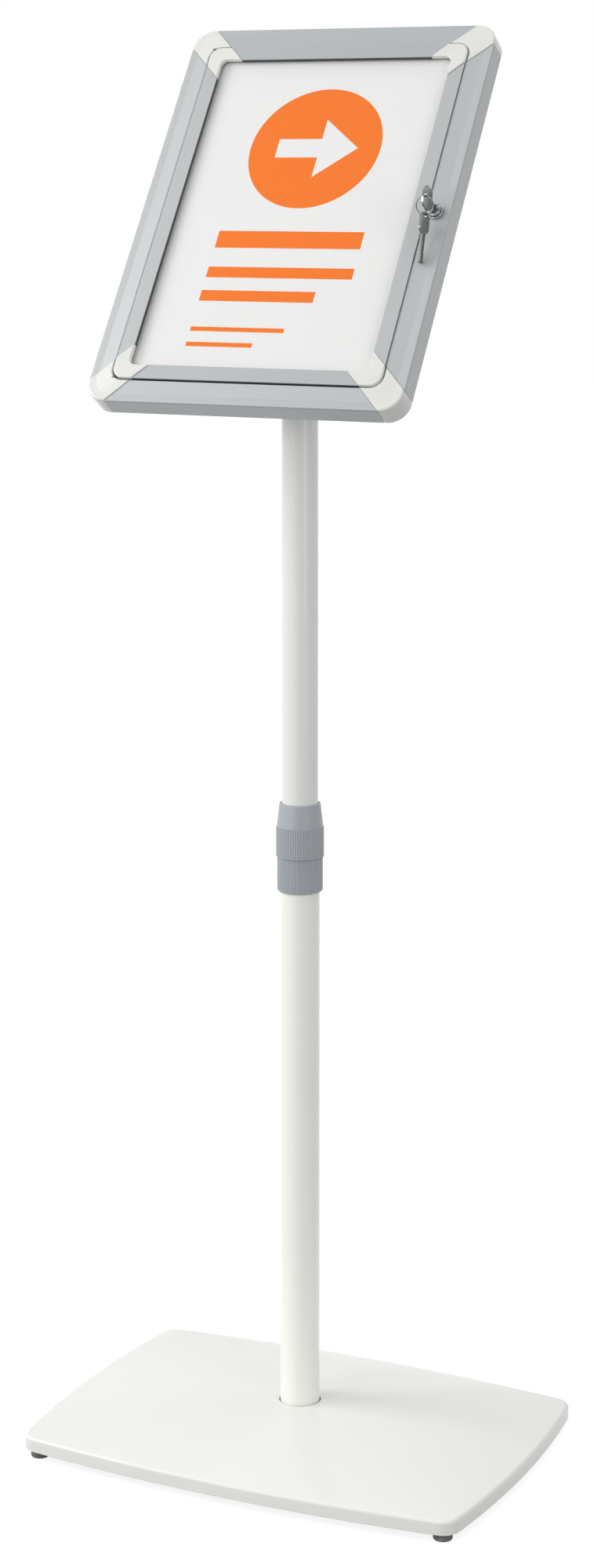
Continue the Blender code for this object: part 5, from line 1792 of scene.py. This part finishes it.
@dataclass
class LockSet:
    """Cam lock in the case's right-hand side, its key, ring and spare key."""

    case: Case = field(default_factory=Case)
    rim: float = 7.0 * MM
    rim_top: float = 4.2 * MM
    barrel: float = 5.1 * MM
    barrel_low: float = -12.0 * MM
    bore: float = 4.3 * MM
    mouth: float = 4.0 * MM
    mouth_step: float = 2.4 * MM
    plug: float = 4.0 * MM
    key_sheet: float = 1.8 * MM
    blade_half: float = 2.9 * MM
    blade_tip: float = -11.2 * MM
    bow_low: float = 12.8 * MM
    bow_high: float = 29.3 * MM
    bow_half: float = 8.8 * MM
    key_hole: float = 2.2 * MM
    key_hole_at: float = 26.0 * MM
    ring_radius: float = 7.3 * MM
    wire: float = 0.55 * MM
    cuts: tuple[float, ...] = (1.1, 0.5, 1.5, 0.8, 1.3)

    def place(self) -> Matrix:
        """From the lock's axes to the stand's."""
        at = moved(self.case.lock_x, self.case.lock_y, 0)
        return self.case.axes.case() @ at

    def slack(self) -> float:
        """How far the ring's wire hangs below the middle of a key's hole."""
        return self.key_hole - self.wire - GAP

    def ring_place(self) -> Matrix:
        """From the ring's axes, its pivot at the inserted key's hole, to the stand's."""
        hang = self.slack()
        hole = (0, -hang * math.cos(TILT), self.key_hole_at - hang * math.sin(TILT))
        return self.place() @ Matrix.Translation(hole) @ turned(TILT - QUARTER, "X")

    def spare_place(self) -> Matrix:
        """From the spare key's axes to the stand's, its blade leaning on the case."""
        hang = self.slack()
        along = self.key_hole_at + hang - self.blade_tip - 1.6 * MM
        drop = hang + 2 * self.ring_radius
        height = self.key_hole_at - drop * math.sin(TILT)
        inward = self.case.half_x - self.case.lock_x + self.key_sheet
        rest = self.case.slope(inward) + GAP
        lean = math.asin((height - rest) / math.hypot(along, self.blade_half))
        lean -= math.atan2(self.blade_half, along)
        turn = moved(0, 0, -2 * self.ring_radius) @ turned(lean - TILT, "X")
        return self.ring_place() @ turn @ moved(0, 0, -self.key_hole_at - hang)

    def body(self) -> Shape:
        """Rim with a bead, a groove and an inner collar, on the threaded barrel."""
        top, low = self.rim_top, self.barrel_low
        profile: Section = [(self.bore, low), (self.barrel - 0.3 * MM, low)]
        thread = low + 0.4 * MM
        while thread < -2.6 * MM:
            profile += [(self.barrel, thread), (self.barrel - 0.25 * MM, thread + 0.35 * MM)]
            thread += 0.7 * MM
        profile += [(self.barrel, -2.0 * MM), (self.barrel, 0.0), (self.rim, 0.0)]
        profile += [(self.rim, 1.7 * MM)]
        profile += arc_points((self.rim - 0.6 * MM, 1.9 * MM), 0.6 * MM, 0.0, math.pi * 0.75, 7)
        profile += [(5.95 * MM, 1.95 * MM), (5.7 * MM, 2.0 * MM), (5.55 * MM, 2.5 * MM)]
        profile += arc_points((4.95 * MM, top - 0.5 * MM), 0.5 * MM, 0.0, QUARTER, 5)
        profile += [(self.mouth + 0.35 * MM, top), (self.mouth, top - 0.35 * MM)]
        profile += [(self.mouth, self.mouth_step), (self.bore, self.mouth_step)]
        shape = revolve(profile, 96)
        inward = self.case.half_x - self.case.lock_x
        for vert in shape.verts:
            if abs(vert.co.z) < WELD:
                vert.co.z = max(self.case.slope(inward - vert.co.x), 0) + GAP
        return shape

    def core(self, shop: Workshop) -> Shape:
        """Plug with its keyway, and the square tail that carries the cam."""
        end, step, front = -12.3 * MM, self.mouth_step - GAP, self.rim_top - GAP
        neck = self.mouth - GAP
        profile: Section = [(0, end), (self.plug, end), (self.plug, step), (neck, step)]
        ease, dip = 0.25 * MM, front - 0.1 * MM
        profile += [(neck, front - ease), (neck - ease, front), (2.9 * MM, dip), (0, dip)]
        tail = block((-1.6 * MM, -1.6 * MM, -14.4 * MM), (1.6 * MM, 1.6 * MM, end + GAP))
        head = rod(2.5 * MM, -15.0 * MM, -14.1 * MM, 32)
        half = self.blade_half + GAP
        slot = block((-1.2 * MM, -half, self.blade_tip - GAP), (1.2 * MM, half, 8 * MM))
        shape = shop.carved(revolve(profile, 64), Step.JOIN, tail, head)
        return shop.carved(shape, Step.CUT, slot)

    def key_outline(self) -> Section:
        """A key's outline: cut blade, shoulders and a rounded six-sided bow.

        Returns:
            Points across and along the key.
        """
        half, tip, base, corner = self.blade_half, self.blade_tip, self.bow_low, math.pi / 3.2
        cuts: Section = []
        at = tip + 3.4 * MM
        for depth in self.cuts:
            cuts += [(half, at - 1.15 * MM), (half - depth * MM, at - 0.25 * MM)]
            cuts += [(half - depth * MM, at + 0.35 * MM), (half, at + 1.25 * MM)]
            at += 2.9 * MM
        right: Section = [(half - 1.6 * MM, tip), (half - 0.3 * MM, tip + 1.4 * MM), *cuts]
        right += [(half, base - 1.2 * MM), (half + 0.9 * MM, base - 0.2 * MM)]
        right += [(self.bow_half - 1.6 * MM, base + 1.4 * MM)]
        right += arc_points(
            (self.bow_half - 2.2 * MM, base + 3.6 * MM), 2.2 * MM, -math.pi / 2.6, 0, 4
        )
        right += arc_points(
            (self.bow_half - 3.4 * MM, self.bow_high - 5.2 * MM), 3.4 * MM, 0, corner, 4
        )
        right += arc_points((2.6 * MM, self.bow_high - 3.0 * MM), 3.0 * MM, corner, QUARTER, 3)
        left: Section = [(-half + 1.6 * MM, tip), (-half, tip + 1.6 * MM), (-half, base - 1.2 * MM)]
        left += [(-x, y) for x, y in right if y > base - 1.0 * MM]
        return right + list(reversed(left))

    def key_shape(self, shop: Workshop) -> Shape:
        """A flat key with milled blade grooves, a sunk bow panel and its hole.

        Args:
            shop: Does the cutting.

        Returns:
            The key, its blade down and its sheet square to X.
        """
        half, sharp = self.key_sheet / 2, folded(FOLD)
        key = eased(
            extruded(self.key_outline(), -half, half, SIDEWAYS), 0.14 * MM, 2,
            lambda edge: level_in_x(edge) and sharp(edge),
        )
        place = moved(0, 0, self.key_hole_at) @ ALONG_X
        tools = [rod(self.key_hole, -2 * half, 2 * half, 32, place)]
        low, high = self.bow_low + 2.6 * MM, self.key_hole_at - 4.0 * MM
        for side in (-1, 1):
            near, far = sorted((side * (half - 0.3 * MM), side * 2 * half))
            panel = rounded_outline(5.6 * MM, (high - low) / 2, 1.8 * MM, 5)
            panel = [(y, z + (low + high) / 2) for y, z in panel]
            tools.append(extruded(panel, near, far, SIDEWAYS))
            near, far = sorted((side * (half - 0.4 * MM), side * 2 * half))
            middle, wide = side * 0.9 * MM - 0.3 * MM, 0.55 * MM
            low_end, high_end = self.blade_tip - MM, self.bow_low - 0.6 * MM
            groove = block((near, middle - wide, low_end), (far, middle + wide, high_end))
            tools.append(groove)
        return shop.carved(key, Step.CUT, *tools)

    def ring(self) -> Shape:
        """Split ring: two turns of flattened spring wire, lying on each other."""
        thin, flat, steps = self.wire / 2, self.wire * 0.9, 144
        shape = bmesh.new()
        verts = [
            shape.verts.new((self.ring_radius + flat * x, 0, thin * y - thin))
            for x, y in circle_points(1.0, 10)
        ]
        bmesh.ops.spin(
            shape, geom=[shape.faces.new(verts)], cent=(0, 0, 0), axis=(0, 0, 1),
            dvec=(0, 0, 2 * thin / steps), angle=4 * math.pi, steps=steps, use_merge=False,
        )
        turn = moved(0, 0, -self.ring_radius) @ turned(QUARTER, "X")
        return tidied(shape, turn)

    def make(self, shop: Workshop, kit: "Finishes") -> None:
        """Build and dress the lock's pieces.

        Args:
            shop: Makes the pieces.
            kit: The finishes.
        """
        place = self.place()
        shop.piece(
            "lock_rim", self.body(), Body.CASE, kit.chrome, ["lock_body"], place
        )
        shop.piece(
            "lock_core", self.core(shop), Body.LOCK, kit.chrome, ["lock_plug"], place
        )
        shop.piece(
            "flat_key", self.key_shape(shop), Body.LOCK, kit.nickel, ["key"], place
        )
        shop.piece(
            "split_ring", self.ring(), Body.RING, kit.dark_steel,
            ["key_ring"], self.ring_place(),
        )
        shop.piece(
            "second_key", self.key_shape(shop), Body.SPARE, kit.nickel,
            ["spare_key"], self.spare_place(),
        )
        shop.dress(kit.zinc, "lock_nut", "lock_cam")


# ------------------------ tilting head


@dataclass
class Head:
    """Tongue on the mast, bracket with two ears, cross bolt and knob."""

    axes: CaseAxes = field(default_factory=CaseAxes)
    tongue_half: float = 8.0 * MM
    tongue_radius: float = 12.7 * MM
    ear_near: float = 8.3 * MM
    ear_far: float = 11.3 * MM
    ear_radius: float = 12.7 * MM
    plate_half: float = 25.0 * MM
    plate_low: float = -11.8 * MM
    plate_high: float = 74.2 * MM
    plate_near: float = 22.4 * MM
    plate_far: float = 25.4 * MM
    bolt: float = 3.0 * MM
    knob: float = 13.0 * MM
    knob_low: float = 11.6 * MM
    knob_length: float = 18.0 * MM
    lobes: int = 6
    lobe_depth: float = 1.3 * MM

    def tongue(self, shop: Workshop) -> Shape:
        """Head plugged in the inner tube, with its flange and eased tongue."""
        low, seat, top = 890.3 * MM, 922.3 * MM, 926.2 * MM
        plug, flange, ease = 13.7 * MM, 15.5 * MM, 0.8 * MM
        profile: Section = [(0, low), (12.9 * MM, low), (plug, low + ease), (plug, seat)]
        profile += [(15.2 * MM, seat), (flange, seat + 0.3 * MM), (flange, top - ease)]
        profile += [(14.7 * MM, top), (0, top)]
        root = top - 2.0 * MM
        side: Section = [(-self.tongue_radius, root), (self.tongue_radius, root)]
        side += arc_points((0, self.axes.pivot_height), self.tongue_radius, 0, math.pi, 40)
        tongue = extruded(side, -self.tongue_half, self.tongue_half, SIDEWAYS)
        eased(tongue, 0.7 * MM, 3, lambda edge: level_in_x(edge) and edge.verts[0].co.z > top)
        place = moved(0, 0, self.axes.pivot_height) @ ALONG_X
        bore = rod(self.bolt + GAP, -16 * MM, 16 * MM, 32, place)
        shape = shop.carved(revolve(profile, 96), Step.JOIN, tongue)
        return shop.carved(shape, Step.CUT, bore)

    def bracket(self, shop: Workshop) -> Shape:
        """Plate behind the case with its two ears and their fillets."""
        middle = (self.plate_low + self.plate_high) / 2
        tall = (self.plate_high - self.plate_low) / 2
        outline = [(x, y + middle) for x, y in rounded_outline(self.plate_half, tall, 5.0 * MM, 8)]
        plate = eased(extruded(outline, self.plate_near, self.plate_far), 0.4 * MM, 2, folded(FOLD))
        side = arc_points((0, 0), self.ear_radius, math.radians(145), math.radians(305), 36)
        side += [(28.0 * MM, self.plate_near + GAP), (self.plate_low + GAP, self.plate_near + GAP)]
        sharp, root = folded(FOLD), self.plate_near - MM
        ears = []
        for near, far in ((self.ear_near, self.ear_far), (-self.ear_far, -self.ear_near)):
            ear = extruded(side, near, far, SIDEWAYS)
            ears.append(eased(
                ear, 0.35 * MM, 2,
                lambda edge: level_in_x(edge) and sharp(edge) and edge.verts[0].co.z < root,
            ))
        pin = rod(self.bolt + GAP, -2 * self.ear_far, 2 * self.ear_far, 32, ALONG_X)
        place = moved(0, self.axes.above_pivot, 0)
        stud = rod(4.3 * MM, 0, 2 * self.plate_far, 32, place)
        shape = shop.carved(plate, Step.JOIN, *ears)
        return shop.carved(shape, Step.CUT, pin, stud)

    def cross_bolt(self, shop: Workshop) -> Shape:
        """Bolt with a button head and a hexagon socket."""
        head, ear = -self.ear_far - 4.0 * MM, -self.ear_far
        profile: Section = [(0, head), (3.6 * MM, head), (4.6 * MM, head + 0.5 * MM)]
        profile += [(5.2 * MM, head + 1.4 * MM), (5.5 * MM, head + 2.6 * MM)]
        profile += [(5.5 * MM, ear), (self.bolt, ear)]
        end = self.knob_low + 12.4 * MM
        profile += [(self.bolt, end - 0.5 * MM), (self.bolt - 0.5 * MM, end), (0, end)]
        socket = extruded(circle_points(2.3 * MM, 6), head - MM, head + 2.0 * MM, ALONG_X)
        return shop.carved(revolve(profile, 64, ALONG_X), Step.CUT, socket)

    def star_knob(self, shop: Workshop) -> Shape:
        """Lobed knob with rounded rims and a shallow cap recess."""
        count, rim_round = self.lobes * 16, 2.2 * MM
        outline = []
        for i in range(count):
            turn = 2 * math.pi * i / count
            radius = self.knob - self.lobe_depth * (1 - math.cos(self.lobes * turn)) / 2
            outline.append((radius * math.cos(turn), radius * math.sin(turn)))
        low, high = self.knob_low, self.knob_low + self.knob_length
        stations = [
            (1 - inset * MM / self.knob, x)
            for inset, x in ((0.8, low), (0.2, low + 0.2 * MM), (0.0, low + 0.8 * MM))
        ]
        for step in range(6):
            turn = QUARTER * step / 5
            share = 1 - rim_round * (1 - math.cos(turn)) / self.knob
            stations.append((share, high - rim_round * (1 - math.sin(turn))))
        stations += [(0.62, high), (0.58, high - 0.5 * MM)]
        loops = [[(x, y * share, z * share) for y, z in outline] for share, x in stations]
        bore = rod(self.bolt + GAP, 0, self.knob_low + 13.0 * MM, 32, ALONG_X)
        return shop.carved(bridged(loops), Step.CUT, bore)

    def make(self, shop: Workshop, kit: "Finishes") -> None:
        """Build and dress the head's pieces.

        Args:
            shop: Makes the pieces.
            kit: The finishes.
        """
        place = self.axes.tilt()
        shop.piece(
            "tongue_head", self.tongue(shop), Body.MAST, kit.dark_paint,
            ["mast_head"],
        )
        shop.piece(
            "eared_bracket", self.bracket(shop), Body.HEAD, kit.dark_paint,
            ["tilt_bracket"], place,
        )
        shop.piece(
            "cross_bolt", self.cross_bolt(shop), Body.HEAD, kit.zinc,
            ["tilt_bolt"], place,
        )
        shop.piece(
            "lobed_knob", self.star_knob(shop), Body.KNOB, kit.black_plastic,
            ["tilt_knob"], place,
        )


# ------------------------ finishes, light and view


def made(finish: Finish) -> Material:
    """A field that holds the finish's material, made with the set."""
    return field(default_factory=finish.build)


def drawn_pair_with_painted_highlight(name: str, upright: Colour, level: Colour) -> list[Material]:
    """Drawn metal of one frame, for its upright rails and then for its level ones; the upright ones
    get a lighter copy of the colour, a painted highlight for the sheen that the left lamp raises
    along their grain.

    Args:
        name: The frame's name.
        upright: Colour of the upright rails, painted lighter than the level ones as a highlight.
        level: Colour of the level rails.

    Returns:
        The two materials.
    """
    return [
        Anodised(f"{name} anodised {grain.value}", tone, 0.46, 0.3, grain=grain).build()
        for grain, tone in ((Grain.UPWARD, upright), (Grain.ACROSS, level))
    ]


@dataclass
class Finishes:
    """The finishes that the stand uses, each made once."""

    base_paint: Material = made(PowderCoat("white powder coat", srgb(233, 233, 229), 0.2))
    tube_paint: Material = made(
        PowderCoat("tube powder coat", srgb(242, 242, 237), 0.22, peel=0.0008)
    )
    # Painted shade: the outer tube's white coat, made darker for the inner tube so that it reads
    # less lit
    inner_tube_shaded_coat: Material = made(
        PowderCoat("inner tube coat", srgb(230, 231, 228), 0.22, peel=0.0008)
    )
    weight_paint: Material = made(
        PowderCoat("ballast black", srgb(52, 53, 55), 0.55, peel_depth=0.00006)
    )
    dark_paint: Material = made(
        PowderCoat("bracket grey", srgb(76, 79, 82), 0.42, peel_depth=0.00005)
    )
    zinc: Material = made(ZincPlate("bright zinc", srgb(198, 200, 200), 0.32, 1.0))
    chrome: Material = made(Plated("lock chrome", srgb(160, 163, 164), 0.12, 1.0))
    nickel: Material = made(
        Plated("nickel key", srgb(140, 142, 141), 0.2, 1.0, scratch_length=0.006)
    )
    dark_steel: Material = made(Plated("dark steel", srgb(104, 106, 106), 0.2, 1.0))
    rubber: Material = made(Rubber("foot rubber", srgb(106, 108, 108), 0.8))
    seal_rubber: Material = made(
        Rubber("seal grey", srgb(176, 180, 181), 0.6, pit=0.0003, dust=1.05)
    )
    # Near-black for the strips that paint the shade at the window's edge and under the door's lower
    # edge
    painted_shade_black: Material = made(
        Rubber("gasket black", srgb(58, 60, 62), 0.6, pit=0.0003, dust=1.2)
    )
    collar_plastic: Material = made(Moulded("collar grey", srgb(165, 170, 175), 0.42))
    black_plastic: Material = made(Moulded("black moulding", srgb(38, 39, 41), 0.42))
    pale_plastic: Material = made(Moulded("natural moulding", srgb(226, 226, 220), 0.5))
    white_plastic: Material = made(
        Moulded("corner white", srgb(220, 221, 217), 0.24, texture_depth=0.000012)
    )
    # Painted highlight: the upright rails' colour is a lighter copy of the level rails', standing
    # in for the sheen they catch from the left
    case_metal: list[Material] = field(
        default_factory=partial(drawn_pair_with_painted_highlight, "case", srgb(178, 181, 182), srgb(171, 175, 177))
    )
    # Painted highlight here too: the door's upright rails are a lighter copy of its level rails
    door_metal: list[Material] = field(
        default_factory=partial(drawn_pair_with_painted_highlight, "door", srgb(175, 178, 179), srgb(168, 172, 174))
    )
    panel_metal: Material = made(
        Anodised("back panel", srgb(176, 179, 181), 0.45, 0.7, grain=Grain.UPWARD, contrast=0.05)
    )
    board: Material = made(Paper("backing board", srgb(214, 213, 208), 0.75))
    paper: Material = made(Paper("coated paper", srgb(238, 238, 237), 0.6))
    ink: Material = made(Paper("orange ink", srgb(248, 120, 0), 0.6))
    clear: Material = made(ClearSheet("clear acrylic", srgb(140, 142, 142), 0.08))


def seen_straight(tree: bpy.types.NodeTree) -> Socket:
    """Add nodes that pick out what the eye, a gloss or a clear sheet shows.

    Args:
        tree: The tree that gets them.

    Returns:
        A socket that is 1 on camera, glossy and transmission rays.
    """
    path = tree.nodes.new("ShaderNodeLightPath")
    found = path.outputs["Is Camera Ray"]
    for kind in ("Is Glossy Ray", "Is Transmission Ray"):
        either = tree.nodes.new("ShaderNodeMath")
        either.operation = "MAXIMUM"
        tree.links.new(found, either.inputs[0])
        tree.links.new(path.outputs[kind], either.inputs[1])
        found = either.outputs[0]
    return found


@dataclass(frozen=True)
class Lamp:
    """A soft rectangular lamp: its place, what it points at, its size and its watts."""

    name: str
    at: Point
    aim: Point
    size: Plan
    power: float

    def hang(self) -> None:
        """Put the lamp in the scene."""
        data = bpy.data.lights.new(self.name, "AREA")
        data.shape = "RECTANGLE"
        data.size, data.size_y = self.size
        data.energy = self.power
        aimed(self.name, data, self.at, Vector(self.aim) - Vector(self.at))


@dataclass
class Studio:
    """Floor, surroundings, lamps and camera."""

    lamps: tuple[Lamp, ...] = (
        Lamp("key", (-2.9, -1.45, 2.25), (0, 0, 0.7), (2.0, 2.4), 72.0),
        Lamp("front", (-1.1, -3.0, 1.3), (0, 0, 0.5), (1.0, 1.0), 20.0),
        Lamp("fill", (3.1, -1.9, 1.2), (0, 0, 0.7), (1.4, 2.2), 19.0),
        Lamp("top", (0.9, 0.9, 3.2), (0, 0, 0.3), (1.4, 1.4), 11.0),
    )
    world_light: float = 0.61
    floor_half: float = 12.0
    floor_colour: Colour = srgb(150, 150, 150)
    floor_glow: float = 0.86
    focal_pixels: float = 3939.46
    picture_height: float = 2000.0
    sensor: float = 36.0
    shift: float = -0.3
    pitch: float = 0.04785
    yaw: float = 0.44425
    eye: Point = (1.06267, -2.23824, 1.04)
    clip: Plan = (0.05, 60.0)

    def surroundings(self) -> None:
        """Even pale light from all round, plain white to the eye, in gloss and through glass."""
        world = bpy.data.worlds.new("soft surroundings")
        world.use_nodes = True
        bpy.context.scene.world = world
        tree = world.node_tree
        tree.nodes.clear()
        lit, seen = tree.nodes.new("ShaderNodeBackground"), tree.nodes.new("ShaderNodeBackground")
        lit.inputs["Strength"].default_value = self.world_light
        seen.inputs["Strength"].default_value = 1.0
        mix, out = tree.nodes.new("ShaderNodeMixShader"), tree.nodes.new("ShaderNodeOutputWorld")
        tree.links.new(seen_straight(tree), mix.inputs[0])
        tree.links.new(lit.outputs[0], mix.inputs[1])
        tree.links.new(seen.outputs[0], mix.inputs[2])
        tree.links.new(mix.outputs[0], out.inputs["Surface"])
        for node in (lit, seen):
            node.inputs["Color"].default_value = (1, 1, 1, 1)

    def floor(self) -> None:
        """Plain pale floor that keeps the stand's soft shadow."""
        sheet = NodeSheet("studio floor")
        sheet.shader.inputs["Base Color"].default_value = (*self.floor_colour, 1)
        sheet.shader.inputs["Roughness"].default_value = 0.9
        sheet.shader.inputs["Specular IOR Level"].default_value = 0.1
        grain = sheet.noise(sheet.place, 300.0, 2.0)
        tone = sheet.blend(grain, shaded(self.floor_colour, 0.995), self.floor_colour)
        sheet.link(tone, sheet.shader.inputs["Base Color"])
        glow = sheet.add("ShaderNodeMath", operation="MULTIPLY")
        glow.inputs[1].default_value = self.floor_glow
        sheet.link(seen_straight(sheet.tree), glow.inputs[0])
        sheet.shader.inputs["Emission Color"].default_value = (1, 1, 1, 1)
        sheet.link(glow.outputs[0], sheet.shader.inputs["Emission Strength"])
        shape = bmesh.new()
        bmesh.ops.create_grid(shape, x_segments=1, y_segments=1, size=self.floor_half)
        obj = linked("floor", mesh_of("floor", shape))
        obj.data.materials.append(sheet.material)

    def camera(self) -> None:
        """Camera at the measured place, its lens and shift as fitted."""
        data = bpy.data.cameras.new("view")
        data.sensor_width = self.sensor
        data.lens = self.focal_pixels / self.picture_height * self.sensor
        data.shift_y = self.shift
        data.clip_start, data.clip_end = self.clip
        look = Vector((
            -math.sin(self.yaw) * math.cos(self.pitch),
            math.cos(self.yaw) * math.cos(self.pitch),
            -math.sin(self.pitch),
        ))
        bpy.context.scene.camera = aimed("view", data, self.eye, look)

    def set_up(self) -> None:
        """Put floor, surroundings, lamps and camera in the scene."""
        self.surroundings()
        self.floor()
        for lamp in self.lamps:
            lamp.hang()
        self.camera()
        bpy.context.scene.view_settings.view_transform = "Standard"


def main() -> None:
    """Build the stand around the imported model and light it."""
    logging.basicConfig(level=logging.INFO, format="%(name)s: %(message)s")
    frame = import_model()
    shop = Workshop(frame["nodes"])
    kit = Finishes()
    for part in (Base(), Mast(), Head(), Case(), Door(), LockSet()):
        part.make(shop, kit)
        LOG.info("%s is done", type(part).__name__)
    Studio().set_up()
    LOG.info("%d pieces made", shop.made)


if __name__ == "__main__":
    main()
